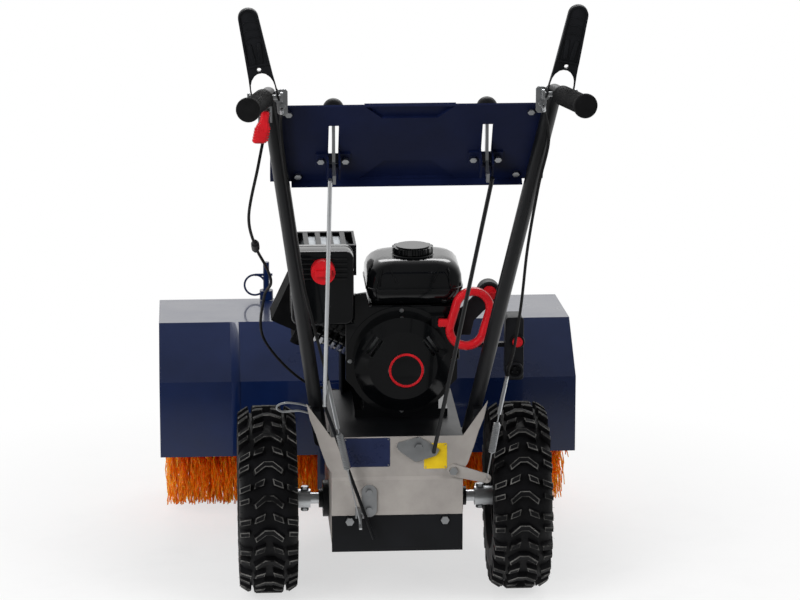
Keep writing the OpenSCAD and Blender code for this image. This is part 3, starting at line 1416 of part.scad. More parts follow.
module bristle_half() {
  n = strands_round;
  rows = 2 * strand_rings + 1;
  rings = concat([for (row = [0:rows - 1]) each brush_ring(cell_x(row), core_r)],
    brush_ring(half_inner, core_r - core_wall), brush_ring(cell_x(rows - 1), core_r - core_wall));
  tips = [for (row = [1:2:rows - 2], k = [0:n - 1]) each strand_tip(row, k)];
  tip_start = len(rings);
  bare = [for (row = [0:2:rows - 2], k = [0:n - 1]) let (m = (k + 1) % n)
    each quad(row * n + k, row * n + m, (row + 1) * n + m, (row + 1) * n + k)];
  strands = [for (row = [1:2:rows - 2], k = [0:n - 1])
    let (m = (k + 1) % n, t = tip_start + 4 * (((row - 1) / 2) * n + k),
         b = [row * n + k, row * n + m, (row + 1) * n + m, (row + 1) * n + k])
    each concat([for (e = [0:3]) each quad(b[e], b[(e + 1) % 4], t + (e + 1) % 4, t + e)],
      quad(t, t + 1, t + 2, t + 3))];
  bore = [for (k = [0:n - 1]) let (m = (k + 1) % n, p = rows * n, q = (rows + 1) * n, last = (rows - 1) * n) each concat(
    quad(p + m, p + k, q + k, q + m), quad(k, p + k, p + m, m), quad(last + m, q + m, q + k, last + k))];
  translate([0, brush_reach, brush_z]) polyhedron(concat(rings, tips), concat(bare, strands, bore));
}
module left_bristles() { color(bristle_orange) at_head() mirror([1, 0, 0]) bristle_half(); }
module right_bristles() { color(bristle_orange) at_head() bristle_half(); }

// Support posts and castors at the front of the head
post_top_z = 437;
post_low_z = 300;
arm_half_w = 13;
arm_low_z = 288;
arm_top_z = 302;
arm_front = 16;
collar_d = 26;
collar_h = 18;
lynch_z = 412;
lynch_d = 5;
lynch_l = 34;
lynch_ring_r = 22;
king_d = 14;
ring_drop = 20;
hood_slope = (hood_crown_z - hood_front_z) / (hood_front_y - hood_crown_y);
hood_top_at_post = hood_front_z + (hood_front_y - post_reach) * hood_slope;
collar_gap = 1.3;
module support_posts() {
  color(blue_paint) at_head() for (s = [-1, 1]) translate([s * post_x, 0, 0]) {
    difference() {
      union() {
        translate([0, post_reach, post_low_z]) cylinder(h = post_top_z - post_low_z, d = post_rod_d);
        block([-arm_half_w, post_reach - post_rod_d / 2, arm_low_z], [arm_half_w, castor_reach + arm_front, arm_top_z]);
        translate([0, post_reach, hood_top_at_post + collar_gap]) cylinder(h = collar_h, d = collar_d);
        translate([0, post_reach, hood_top_at_post - hood_t - collar_gap - collar_h]) cylinder(h = collar_h, d = collar_d);
      }
      disc_z([0, castor_reach, arm_top_z], king_d / 2 + run_gap, 4 * king_d);
      disc_x([0, post_reach, lynch_z], lynch_d / 2, 4 * post_rod_d);
    }
    disc_x([-lynch_l / 2 + post_rod_d, post_reach, lynch_z], lynch_d / 2, lynch_l);
    translate([-lynch_l + post_rod_d, post_reach, lynch_z - ring_drop]) rotate([90, 0, 0])
      rotate_extrude() translate([lynch_ring_r - wire_d / 2, 0]) circle(wire_d / 2);
  }
}
castor_w = 34;
fork_t = 5;
fork_gap = 2;
crown_t = 6;
crown_gap = 0.5;
castor_axle_d = 12;
fork_leg_w = 30;
castor_hub_d = 34;
castor_bore_d = castor_axle_d + 2 * run_gap;
castor_z = castor_d / 2;
fork_half = castor_w / 2 + fork_gap;
module castor(x) {
  crown_z = arm_low_z - crown_gap - crown_t;
  at_head() translate([x, castor_reach, 0]) {
    disc_z([0, 0, crown_z + crown_t / 2], castor_crown_r, crown_t);
    translate([0, 0, crown_z]) cylinder(h = arm_top_z - crown_z + crown_t, d = king_d);
    block([-fork_half - fork_t, -castor_trail - fork_leg_w / 2, crown_z - crown_t], [fork_half + fork_t, castor_crown_r / 2, crown_z]);
    for (s = [-1, 1]) plate_yz(s > 0 ? fork_half : -fork_half - fork_t, fork_t, [
      [castor_crown_r / 2, crown_z], [-castor_trail - fork_leg_w / 2, crown_z],
      [-castor_trail - fork_leg_w / 2, castor_z - fork_leg_w / 2],
      [-castor_trail + fork_leg_w / 2, castor_z - fork_leg_w / 2]]);
    disc_x([0, -castor_trail, castor_z], castor_axle_d / 2, 2 * fork_half + fork_t);
  }
}
module castor_wheel(x) {
  at_head() translate([x, castor_reach - castor_trail, castor_z]) difference() {
    union() {
      disc_x([0, 0, 0], castor_d / 2, castor_w);
      disc_x([0, 0, 0], castor_hub_d / 2, castor_w + fork_gap);
    }
    disc_x([0, 0, 0], castor_bore_d / 2, 2 * castor_w);
  }
}
module left_castor() { color(zinc) castor(-post_x); }
module right_castor() { color(zinc) castor(post_x); }
module left_castor_wheel() { color(rubber_black) castor_wheel(-post_x); }
module right_castor_wheel() { color(rubber_black) castor_wheel(post_x); }

gear_case();
bottom_cover();
fasteners();
swivel_yoke();
axle_bearings();
belt_cover();
drive_belts();
engine_block();
cylinder_head();
recoil_housing();
fuel_tank();
air_box();
muffler();
muffler_guard();
switch_box();
handle_tubes();
grips();
dash_panel();
lever_brackets();
control_cables();
fuel_cap();
choke_knob();
pull_handle();
recoil_reel();
start_button();
ignition_key();
left_paddle();
right_paddle();
trigger();
angle_lever();
angle_knob();
angle_rod();
speed_lever();
speed_knob();
speed_rod();
speed_crank();
drive_clutch_arm();
brush_clutch_arm();
drive_spring();
brush_spring();
axle();
rims();
tyres();
hex_shaft();
friction_wheel();
drive_disc();
crankshaft();
brush_pulley();
input_shaft();
head_frame();
hood();
brush_gearbox();
brush_shaft();
left_bristles();
right_bristles();
support_posts();
left_castor();
right_castor();
left_castor_wheel();
right_castor_wheel();
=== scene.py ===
import math

import bmesh
import bpy
from mathutils import Matrix, Vector


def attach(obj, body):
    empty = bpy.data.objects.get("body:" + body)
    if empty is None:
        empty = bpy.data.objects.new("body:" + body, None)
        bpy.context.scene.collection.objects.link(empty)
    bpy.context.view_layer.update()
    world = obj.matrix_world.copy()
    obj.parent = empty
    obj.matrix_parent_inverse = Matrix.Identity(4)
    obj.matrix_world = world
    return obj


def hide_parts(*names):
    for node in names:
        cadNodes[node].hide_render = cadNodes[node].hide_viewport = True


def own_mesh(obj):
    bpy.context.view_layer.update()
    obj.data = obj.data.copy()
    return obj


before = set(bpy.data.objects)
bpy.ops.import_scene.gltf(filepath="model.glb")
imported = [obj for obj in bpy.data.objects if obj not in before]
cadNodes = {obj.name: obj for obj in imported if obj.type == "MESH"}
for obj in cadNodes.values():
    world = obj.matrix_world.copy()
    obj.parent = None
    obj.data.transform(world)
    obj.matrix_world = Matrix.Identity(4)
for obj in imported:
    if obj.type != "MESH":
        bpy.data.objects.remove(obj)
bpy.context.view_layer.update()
scene = bpy.context.scene
mm = 0.001
axleSet = dict(right=28.0, ahead=-60.125, up=167.0)  # the axle's middle in the shared frame, in millimetres


def at(x, y, z):  # millimetres right, ahead and up of the floor below the axle's middle
    return Vector((x + axleSet["right"], y + axleSet["ahead"], z)) * mm


def headAt(x, y, z):  # the same, from the middle of the brush head
    return Vector((x, y + axleSet["ahead"], z)) * mm


def linear(code):  # sRGB hex to the linear colour that sockets take
    parts = [int(code[i:i + 2], 16) / 255 for i in (1, 3, 5)]
    return tuple(c / 12.92 if c <= 0.04045 else ((c + 0.055) / 1.055) ** 2.4 for c in parts) + (1.0,)


def feed(tree, node, values):  # links or sets each input that is named
    for key, value in values.items():
        if isinstance(value, bpy.types.NodeSocket):
            tree.links.new(value, node.inputs[key])
        else:
            node.inputs[key].default_value = value


def addNode(tree, kind, values=None, **settings):
    node = tree.nodes.new(kind)
    for key, value in settings.items():
        setattr(node, key, value)
    feed(tree, node, values or {})
    return node


def maths(tree, operation, a, b=0.0):
    return addNode(tree, "ShaderNodeMath", {0: a, 1: b}, operation=operation).outputs[0]


def mapRange(tree, value, low, high, toLow=0.0, toHigh=1.0):
    return addNode(tree, "ShaderNodeMapRange", {
        "Value": value, "From Min": low, "From Max": high, "To Min": toLow, "To Max": toHigh}).outputs[0]


def mixTone(tree, share, first, second):
    mix = addNode(tree, "ShaderNodeMix", {"Factor": share, "A": first, "B": second}, data_type="RGBA")
    return mix.outputs["Result"]


def noise(tree, sizeMm, detail, rough=0.5):
    place = addNode(tree, "ShaderNodeTexCoord").outputs["Object"]
    return addNode(tree, "ShaderNodeTexNoise", {
        "Vector": place, "Scale": 1000 / sizeMm, "Detail": detail, "Roughness": rough}).outputs["Fac"]


def raised(tree, height, look):
    return addNode(tree, "ShaderNodeBump", {
        "Height": height, "Strength": look["bump"], "Distance": look["depthMm"] * mm}).outputs["Normal"]


def newMaterial(name):
    material = bpy.data.materials.new(name)
    material.use_nodes = True
    tree = material.node_tree
    return material, tree, tree.nodes["Principled BSDF"]


patchSet = dict(detail=6.0, rough=0.62, toneFrom=(0.35, 0.68), glossFrom=(0.3, 0.7), grainDetail=3.0,
                clearRough=0.05)


def makeFinish(name, look):
    # two tones drift over patchMm, grit of grainMm raises the surface, and gloss drifts with the patches
    material, tree, shader = newMaterial(name)
    patch = noise(tree, look["patchMm"], patchSet["detail"], patchSet["rough"])
    grain = noise(tree, look["grainMm"], patchSet["grainDetail"])
    spread = mapRange(tree, patch, *patchSet["toneFrom"])
    tone = mixTone(tree, spread, linear(look["dark"]), linear(look["light"]))
    if "worn" in look:  # block edges painted a paler tone in patches: a painted highlight
        edge = addNode(tree, "ShaderNodeAttribute", attribute_name="edgeHighlight").outputs["Fac"]
        tone = mixTone(tree, maths(tree, "MULTIPLY", edge, spread), tone, linear(look["worn"]))
    feed(tree, shader, {
        "Base Color": tone, "Roughness": mapRange(tree, patch, *patchSet["glossFrom"], *look["rough"]),
        "Normal": raised(tree, grain, look), "Metallic": look.get("metallic", 0.0),
        "Coat Weight": look.get("clear", 0.0), "Coat Roughness": patchSet["clearRough"]})
    if not look.get("metallic"):
        shader.inputs["IOR"].default_value = look.get("ior", 1.5)
    return material


def coat(dark, light, patchMm, grainMm, bump, depthMm, rough, **more):
    return dict(dark=dark, light=light, patchMm=patchMm, grainMm=grainMm, bump=bump, depthMm=depthMm,
                rough=rough, **more)


finishes = {
    # powder coat over pressed steel: deep blue, fine orange peel, clear gloss
    "navyPowderCoat": coat("#09193c", "#0d1f48", 160, 2.2, 0.08, 0.3, (0.26, 0.34), clear=0.5, ior=1.3),
    # the same coat with a matting agent: darker, and its reflections spread wide
    "satinNavyCoat": coat("#0e1530", "#141c3c", 120, 2.0, 0.1, 0.3, (0.42, 0.52), ior=1.26),
    # baked warm grey enamel on sheet steel, softly mottled by handling
    "greyEnamel": coat("#8f8a86", "#a09b96", 70, 1.8, 0.12, 0.25, (0.38, 0.5)),
    # satin black powder coat on tube and plate
    "blackPowderCoat": coat("#0c0d0f", "#131417", 90, 1.6, 0.14, 0.25, (0.33, 0.46), ior=1.33),
    # gloss stoved enamel on the engine's pressings: near mirror, a little dusty
    "glossBlackEnamel": coat("#040506", "#090a0c", 60, 3.0, 0.04, 0.2, (0.1, 0.2), clear=0.3, ior=1.4),
    # moulded black nylon: fine spark-eroded texture
    "blackNylon": coat("#101113", "#191a1d", 40, 1.1, 0.3, 0.25, (0.42, 0.55), ior=1.36),
    # heat-proof stove black on cast fins: dead matt
    "stoveBlack": coat("#0a0a0b", "#131314", 26, 1.3, 0.4, 0.3, (0.75, 0.9), ior=1.25),
    # bright zinc plate on mild steel: cool, slightly cloudy metal
    "zincPlate": coat("#c2c5c7", "#d4d6d8", 36, 1.6, 0.04, 0.08, (0.32, 0.44), metallic=1.0),
    # sand-cast aluminium with a grainy skin
    "castAluminium": coat("#8c9094", "#b0b4b7", 30, 1.5, 0.5, 0.3, (0.42, 0.6), metallic=1.0),
    # soft moulded rubber: dull, with a faint bloom
    "mouldedRubber": coat("#0d0d0e", "#161617", 24, 1.2, 0.25, 0.25, (0.6, 0.78), ior=1.33),
    # tyre rubber: charcoal, with pale dust in patches; its block edges are painted paler in patches, a
    # painted highlight
    "tyreRubber": coat("#080809", "#131315", 34, 1.5, 0.35, 0.4, (0.55, 0.8), ior=1.33, worn="#7e7d7a"),
    # injection moulded red ABS
    "redAbs": coat("#b3111b", "#cf1a24", 30, 1.6, 0.06, 0.2, (0.24, 0.34), ior=1.54),
    # plain foil stickers
    "blueFoil": coat("#171f3c", "#1d2646", 20, 2.5, 0.03, 0.1, (0.25, 0.33)),
    "yellowFoil": coat("#d0ae18", "#dfbe20", 20, 2.5, 0.03, 0.1, (0.28, 0.36)),
}
made = {name: makeFinish(name, look) for name, look in finishes.items()}


def makeBristlePlastic(name, look):
    # extruded polypropylene: strands differ a little in tone, and light glows through them
    material, tree, shader = newMaterial(name)
    shade = addNode(tree, "ShaderNodeAttribute", attribute_name="strandShade").outputs["Fac"]
    grain = noise(tree, look["grainMm"], look["grainDetail"])
    feed(tree, shader, {
        "Base Color": mixTone(tree, shade, linear(look["dark"]), linear(look["light"])),
        "Normal": raised(tree, grain, look), "Roughness": look["rough"], "IOR": look["ior"],
        "Subsurface Weight": 1.0, "Subsurface Radius": look["glowRadius"],
        "Subsurface Scale": look["glowMm"] * mm})
    return material


made["orangePolypropylene"] = makeBristlePlastic("orangePolypropylene", dict(
    dark="#ff5c0c", light="#ff8c30", grainMm=6.0, grainDetail=2.0, bump=0.15, depthMm=0.3, rough=0.42,
    ior=1.25, glowRadius=(1.0, 0.34, 0.06), glowMm=10))
print("finishes made:", len(made))

# which finish each CAD node wears
wears = {
    "greyEnamel": "gear_case swivel_yoke drive_clutch_arm",
    "navyPowderCoat": "hood head_frame support_posts",
    "satinNavyCoat": "dash_panel",
    "blackPowderCoat": "axle_bearings bottom_cover belt_cover handle_tubes rims speed_rod brush_gearbox "
                       "muffler_guard",
    "stoveBlack": "cylinder_head",
    "glossBlackEnamel": "engine_block recoil_housing fuel_tank air_box fuel_cap",
    "blackNylon": "switch_box left_paddle right_paddle recoil_reel angle_knob speed_knob",
    "zincPlate": "fasteners lever_brackets angle_lever angle_rod speed_lever speed_crank brush_clutch_arm "
                 "drive_spring brush_spring axle hex_shaft drive_disc crankshaft brush_pulley input_shaft "
                 "brush_shaft left_castor right_castor",
    "castAluminium": "muffler",
    "mouldedRubber": "drive_belts grips control_cables friction_wheel left_castor_wheel right_castor_wheel",
    "tyreRubber": "tyres",
    "redAbs": "choke_knob pull_handle start_button ignition_key trigger",
    "orangePolypropylene": "left_bristles right_bristles",
}
for finish, names in wears.items():
    for name in names.split():
        mesh = cadNodes[name].data
        mesh.materials.clear()
        mesh.materials.append(made[finish])


def paintFaces(node, finish, wanted):
    # gives the wanted faces of a CAD node another finish
    mesh = cadNodes[node].data
    mesh.materials.append(made[finish])
    for face in mesh.polygons:
        if wanted(face.center, face.normal):
            face.material_index = len(mesh.materials) - 1


hub = at(0, 0, axleSet["up"])
# places in metres, facings as parts of the normal
paintSet = dict(deckZ=0.3, facingUp=0.6, facingIn=-0.01, notBack=-0.3, hubR=0.034, sleeveZ=0.386,
                dashZ=0.82, dashHalfX=0.16)
# the deck under the engine and the wings' inner sides, painted black: painted shade under the engine
paintFaces("gear_case", "blackPowderCoat",
           lambda c, n: c.z > paintSet["deckZ"] and n.y > paintSet["notBack"]
           and (n.z > paintSet["facingUp"] or n.x * (c.x - hub.x) < paintSet["facingIn"]))
# the hub tubes, the sleeved lower end of the rod and the brackets on the dash
paintFaces("rims", "zincPlate", lambda c, n: math.hypot(c.y - hub.y, c.z - hub.z) < paintSet["hubR"])
paintFaces("angle_rod", "blackPowderCoat", lambda c, n: c.z < paintSet["sleeveZ"])
paintFaces("lever_brackets", "satinNavyCoat",
           lambda c, n: c.z > paintSet["dashZ"] and abs(c.x - hub.x) < paintSet["dashHalfX"])


def addObject(name, data):
    thing = bpy.data.objects.new(name, data)
    scene.collection.objects.link(thing)
    return thing


def keepMesh(name, parts, finish, smoothDeg, node=None, body="chassis"):
    # makes a mesh, or a list of them, a piece that rides on a body; node is the CAD node that it stands for
    mesh = joinMeshes(parts) if isinstance(parts, list) else parts
    mesh.name = name
    mesh.materials.clear()
    mesh.materials.append(made[finish])
    piece = addObject(name, mesh)
    if smoothDeg:
        mesh.shade_smooth()
        mesh.set_sharp_from_angle(angle=math.radians(smoothDeg))
    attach(piece, body)
    if node:
        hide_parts(node)
    return piece


def cleaned(mesh, merge=True):
    # welds doubled vertices and turns all faces outward
    bm = bmesh.new()
    bm.from_mesh(mesh)
    if merge:
        bmesh.ops.remove_doubles(bm, verts=bm.verts, dist=1e-6)
    bmesh.ops.recalc_face_normals(bm, faces=bm.faces)
    bm.to_mesh(mesh)
    bm.free()
    return mesh


def meshFrom(vertices, faces, merge=True):
    mesh = bpy.data.meshes.new("part")
    mesh.from_pydata([tuple(v) for v in vertices], [], faces)
    return cleaned(mesh, merge)


def joinMeshes(meshes):
    bm = bmesh.new()
    for mesh in meshes:
        bm.from_mesh(mesh)
    whole = bpy.data.meshes.new("part")
    bm.to_mesh(whole)
    bm.free()
    for mesh in meshes:
        bpy.data.meshes.remove(mesh)
    return whole


def moved(mesh, matrix):
    mesh.transform(matrix)
    return mesh


def turned(degrees, axis):
    return Matrix.Rotation(math.radians(degrees), 4, axis)


def placed(mesh, x, y, z):
    return moved(mesh, Matrix.Translation(at(x, y, z)))


def mirrored(mesh):
    mesh.transform(Matrix.Diagonal((-1, 1, 1, 1)))
    mesh.flip_normals()
    return mesh


def bevelled(mesh, width, segments=2):
    bm = bmesh.new()
    bm.from_mesh(mesh)
    sharp = math.radians(30)
    edges = [e for e in bm.edges if e.is_manifold and e.calc_face_angle(0) > sharp]
    bmesh.ops.bevel(bm, geom=edges, offset=width * mm, segments=segments, profile=0.5, affect="EDGES",
                    clamp_overlap=True)
    bm.to_mesh(mesh)
    bm.free()
    return mesh


def frameOn(axis):
    z = Vector(axis).normalized()
    x = z.orthogonal().normalized()
    return Matrix((x, z.cross(x), z)).transposed()


def circle(sides):
    angles = [2 * math.pi * k / sides for k in range(sides)]
    return [(math.cos(a), math.sin(a)) for a in angles]


def arc(centreZ, radius, start, stop, steps):
    angles = [math.radians(start + (stop - start) * k / steps) for k in range(steps + 1)]
    return [(radius * math.cos(a), centreZ + radius * math.sin(a)) for a in angles]


def roundedOutline(lowX, lowZ, highX, highZ, r, steps=6):
    corners = ((highX - r, highZ - r, 0), (lowX + r, highZ - r, 90), (lowX + r, lowZ + r, 180),
               (highX - r, lowZ + r, 270))
    return [(x + px, pz) for x, z, start in corners for px, pz in arc(z, r, start, start + 90, steps)]


def flipped(outline):
    return [(-x, z) for x, z in outline]


def ringFaces(rings, sides, looped=False):
    # quads between neighbouring rings of vertices; the ends are capped, or meet in a loop
    faces = []
    for i in range(rings if looped else rings - 1):
        here, there = i * sides, (i + 1) % rings * sides
        faces += [(here + k, here + (k + 1) % sides, there + (k + 1) % sides, there + k)
                  for k in range(sides)]
    if not looped:
        faces += [tuple(range(sides - 1, -1, -1)), tuple((rings - 1) * sides + k for k in range(sides))]
    return faces


def lathe(profile, centre, axis, turns, closed=False):
    # profile is (radius, along) in millimetres; the axis runs through centre; open ends get a disc
    turn = frameOn(axis)
    if not closed:
        profile = [(0, h) for r, h in profile[:1] if r] + profile + [(0, h) for r, h in profile[-1:] if r]
    vertices = [centre + turn @ Vector((r * c, r * s, h)) * mm
                for c, s in circle(turns) for r, h in profile]
    count = len(profile)
    faces = []
    for k in range(turns):
        here, there = k * count, (k + 1) % turns * count
        faces += [(here + i, here + (i + 1) % count, there + (i + 1) % count, there + i)
                  for i in range(count if closed else count - 1)]
    return meshFrom(vertices, faces)


def sweep(points, radius, sides):
    # a round tube along points in metres, capped at both ends
    count = len(points)
    side = None
    vertices = []
    for i, p in enumerate(points):
        t = (points[min(i + 1, count - 1)] - points[max(i - 1, 0)]).normalized()
        side = t.orthogonal().normalized() if side is None else (side - t * side.dot(t)).normalized()
        up = t.cross(side)
        vertices += [p + (side * c + up * s) * radius * mm for c, s in circle(sides)]
    return meshFrom(vertices, ringFaces(count, sides), merge=False)


def smoothLine(points, steps):
    line = []
    for i in range(len(points) - 1):
        a, b = points[max(i - 1, 0)], points[i]
        c, d = points[i + 1], points[min(i + 2, len(points) - 1)]
        for k in range(steps):
            u = k / steps
            line.append(0.5 * (2 * b + (c - a) * u + (2 * a - 5 * b + 4 * c - d) * u ** 2
                               + (3 * b - a - 3 * c + d) * u ** 3))
    line.append(points[-1])
    return line


def loft(levels, steps=8):
    # rounded rectangles stacked up Z, each (z, halfX, halfY, corner) in millimetres, closed at both ends
    vertices = []
    for z, halfX, halfY, corner in levels:
        outline = roundedOutline(-halfX, -halfY, halfX, halfY, corner, steps)
        vertices += [Vector((x, y, z)) * mm for x, y in outline]
    return meshFrom(vertices, ringFaces(len(levels), 4 * (steps + 1)))


def roundedPlate(width, height, thick, corner):
    # a plate in XZ with round corners, thickness along Y, centred at the origin, in millimetres
    outline = roundedOutline(-width / 2, -height / 2, width / 2, height / 2, corner)
    count = len(outline)
    vertices = [Vector((x, y, z)) * mm for y in (thick / 2, -thick / 2) for x, z in outline]
    # the corner order of the two ends sets how they are split into triangles, and so how they shine
    ends = [tuple(range(count)), tuple(range(2 * count - 1, count - 1, -1))]
    return meshFrom(vertices, ends + ringFaces(2, count)[:count])


def box(low, high, bevel, segments=2):
    half = (Vector(high) - Vector(low)) / 2
    corners = [Vector((sx * half.x, sy * half.y, sz * half.z)) * mm
               for sx in (-1, 1) for sy in (-1, 1) for sz in (-1, 1)]
    faces = [(0, 1, 3, 2), (4, 6, 7, 5), (0, 4, 5, 1), (2, 3, 7, 6), (0, 2, 6, 4), (1, 5, 7, 3)]
    return placed(bevelled(meshFrom(corners, faces), bevel, segments), *(Vector(low) + half))


def flatShape(outlines, thick, bevel):
    # a plate in XZ from an outline and its holes, thickness along Y, with round edges, in millimetres
    drawn = bpy.data.curves.new("outline", "CURVE")
    drawn.dimensions = "2D"
    drawn.fill_mode = "BOTH"
    drawn.extrude = (thick / 2 - bevel) * mm
    drawn.bevel_depth = bevel * mm
    drawn.bevel_resolution = 2
    drawn.offset = -bevel * mm
    for outline in outlines:
        spline = drawn.splines.new("POLY")
        spline.points.add(len(outline) - 1)
        for point, (x, z) in zip(spline.points, outline):
            point.co = (x * mm, z * mm, 0, 1)
        spline.use_cyclic_u = True
    carrier = addObject("outline", drawn)
    mesh = bpy.data.meshes.new_from_object(carrier.evaluated_get(bpy.context.evaluated_depsgraph_get()))
    bpy.data.objects.remove(carrier)
    return moved(cleaned(mesh), turned(90, "X"))


def newTree(name, inputs):
    tree = bpy.data.node_groups.new(name, "GeometryNodeTree")
    for socket, kind in (("Geometry", "Geometry"),) + inputs:
        tree.interface.new_socket(socket, in_out="INPUT", socket_type="NodeSocket" + kind)
    tree.interface.new_socket("Geometry", in_out="OUTPUT", socket_type="NodeSocketGeometry")
    return tree, addNode(tree, "NodeGroupInput").outputs


def endTree(tree, source, geometry):
    real = addNode(tree, "GeometryNodeRealizeInstances", {"Geometry": geometry})
    dress = addNode(tree, "GeometryNodeSetMaterial", {
        "Geometry": real.outputs[0], "Material": source["Finish"]})
    addNode(tree, "NodeGroupOutput", {"Geometry": dress.outputs[0]})


def copiesTree(name, turning):
    # copies of the incoming mesh, turned about the axis Way through Centre, or set in a row of steps Way
    tree, source = newTree(name, (
        ("Count", "Int"), ("Centre", "Vector"), ("Way", "Vector"), ("Finish", "Material")))
    line = addNode(tree, "GeometryNodeMeshLine", {
        "Count": source["Count"], "Start Location": source["Centre"],
        "Offset": (0, 0, 0) if turning else source["Way"]})
    values = {"Points": line.outputs[0], "Instance": source["Geometry"]}
    if turning:
        index = addNode(tree, "GeometryNodeInputIndex").outputs["Index"]
        angle = maths(tree, "MULTIPLY", maths(tree, "DIVIDE", index, source["Count"]), 2 * math.pi)
        values["Rotation"] = addNode(tree, "FunctionNodeAxisAngleToRotation", {
            "Axis": source["Way"], "Angle": angle}).outputs[0]
    endTree(tree, source, addNode(tree, "GeometryNodeInstanceOnPoints", values).outputs[0])
    return tree


def runTree(tree, mesh, values):
    # puts the mesh through a tree and hands back the plain mesh that comes out
    carrier = addObject("carrier", mesh)
    step = carrier.modifiers.new("nodes", "NODES")
    step.node_group = tree
    for item in tree.interface.items_tree:
        if item.item_type == "SOCKET" and item.in_out == "INPUT" and item.name in values:
            step[item.identifier] = values[item.name]
    ready = carrier.evaluated_get(bpy.context.evaluated_depsgraph_get())
    result = bpy.data.meshes.new_from_object(ready)
    carrier.modifiers.clear()
    bpy.data.objects.remove(carrier)
    bpy.data.meshes.remove(mesh)
    return result


ringTree = copiesTree("ringOfCopies", True)
rowTree = copiesTree("rowOfCopies", False)


def copiesOf(mesh, tree, count, centre, way, finish):
    return runTree(tree, mesh, {
        "Count": count, "Centre": tuple(centre), "Way": tuple(way), "Finish": made[finish]})


# Camera and light
cameraSet = dict(place=(-359.3, -6283.1, 2146.9), look=(0.0574, 0.9668, -0.2491), lens=166.6,
                 sensor=36.0, reach=60.0)
cameraData = bpy.data.cameras.new("photoCamera")
camera = addObject("photoCamera", cameraData)
camera.location = at(*cameraSet["place"])
camera.rotation_euler = Vector(cameraSet["look"]).normalized().to_track_quat("-Z", "Y").to_euler()
cameraData.lens = cameraSet["lens"]
cameraData.sensor_width = cameraSet["sensor"]
cameraData.clip_end = cameraSet["reach"]
scene.camera = camera
scene.view_settings.view_transform = "Standard"

lampSet = {
    # name: place in metres, aim, side lengths, watts
    "leftSoftbox": ((-2.9, -3.0, 3.1), (0.0, 0.0, 0.4), (2.2, 2.2), 108.0),
    "rightSoftbox": ((3.1, -2.8, 3.1), (0.0, 0.0, 0.4), (2.2, 2.2), 85.0),
    "rimSoftbox": ((0.4, 3.2, 3.3), (0.0, 0.2, 0.5), (3.0, 1.2), 60.0),
    "lowSoftbox": ((-2.0, -3.2, 0.75), (-0.2, 0.4, 0.12), (1.8, 0.7), 54.0),  # reaches in under the hood
}
for name, (place, aim, size, power) in lampSet.items():
    lamp = bpy.data.lights.new(name, "AREA")
    lamp.shape = "RECTANGLE"
    lamp.size, lamp.size_y = size
    lamp.energy = power
    lampObject = addObject(name, lamp)
    lampObject.location = place
    lampObject.rotation_euler = (Vector(aim) - Vector(place)).to_track_quat("-Z", "Y").to_euler()
    lampObject.visible_glossy = name == "rimSoftbox"  # the other lamps leave no white squares in flat paint

# the world is white to the camera; in gloss the white lies ahead of the machine, and the room behind is dim
worldSet = dict(ahead=(0.05, 0.75), room=(0.17, 0.7))
world = bpy.data.worlds.new("studio")
scene.world = world
world.use_nodes = True
sky = world.node_tree
sky.nodes.clear()
rays = addNode(sky, "ShaderNodeLightPath").outputs
heading = addNode(sky, "ShaderNodeTexCoord").outputs["Generated"]
headingY = addNode(sky, "ShaderNodeSeparateXYZ", {0: heading}).outputs["Y"]
ahead = mapRange(sky, headingY, *worldSet["ahead"])
room = mapRange(sky, ahead, 0.0, 1.0, *worldSet["room"])
inGloss = maths(sky, "MULTIPLY", rays["Is Glossy Ray"], ahead)
for level in (rays["Is Camera Ray"], rays["Is Transmission Ray"], inGloss):
    room = maths(sky, "MAXIMUM", room, level)
backdrop = addNode(sky, "ShaderNodeBackground", {"Color": (1, 1, 1, 1), "Strength": room})
addNode(sky, "ShaderNodeOutputWorld", {"Surface": backdrop.outputs[0]})

# the floor turns wholly white away from the machine, and keeps its shadow near it
floorSet = dict(corners=[(-14, -10, 0), (14, -10, 0), (14, 18, 0), (-14, 18, 0)], scuffScale=7.0,
                scuffDetail=8.0, scuffRough=0.7, scuffFrom=(0.3, 0.52), scuffTo=(0.86, 0.93),
                behindFrom=(-0.75, -0.2), behindTo=(0.1, 1.0), whiteFrom=(0.4, 1.2), whiteTo=(0.62, 1.0))
floorMesh = bpy.data.meshes.new("studioFloor")
floorMesh.from_pydata(floorSet["corners"], [], [(0, 1, 2, 3)])
studioFloor = addObject("studioFloor", floorMesh)
floorPaint, tree = newMaterial("whiteStudioPaint")[:2]
tree.nodes.clear()
rays = addNode(tree, "ShaderNodeLightPath").outputs
place = addNode(tree, "ShaderNodeTexCoord").outputs["Object"]
scuffs = addNode(tree, "ShaderNodeTexNoise", {
    "Vector": place, "Scale": floorSet["scuffScale"], "Detail": floorSet["scuffDetail"],
    "Roughness": floorSet["scuffRough"]}).outputs["Fac"]
scuffTone = mapRange(tree, scuffs, *floorSet["scuffFrom"], *floorSet["scuffTo"])
placeY = addNode(tree, "ShaderNodeSeparateXYZ", {0: place}).outputs["Y"]
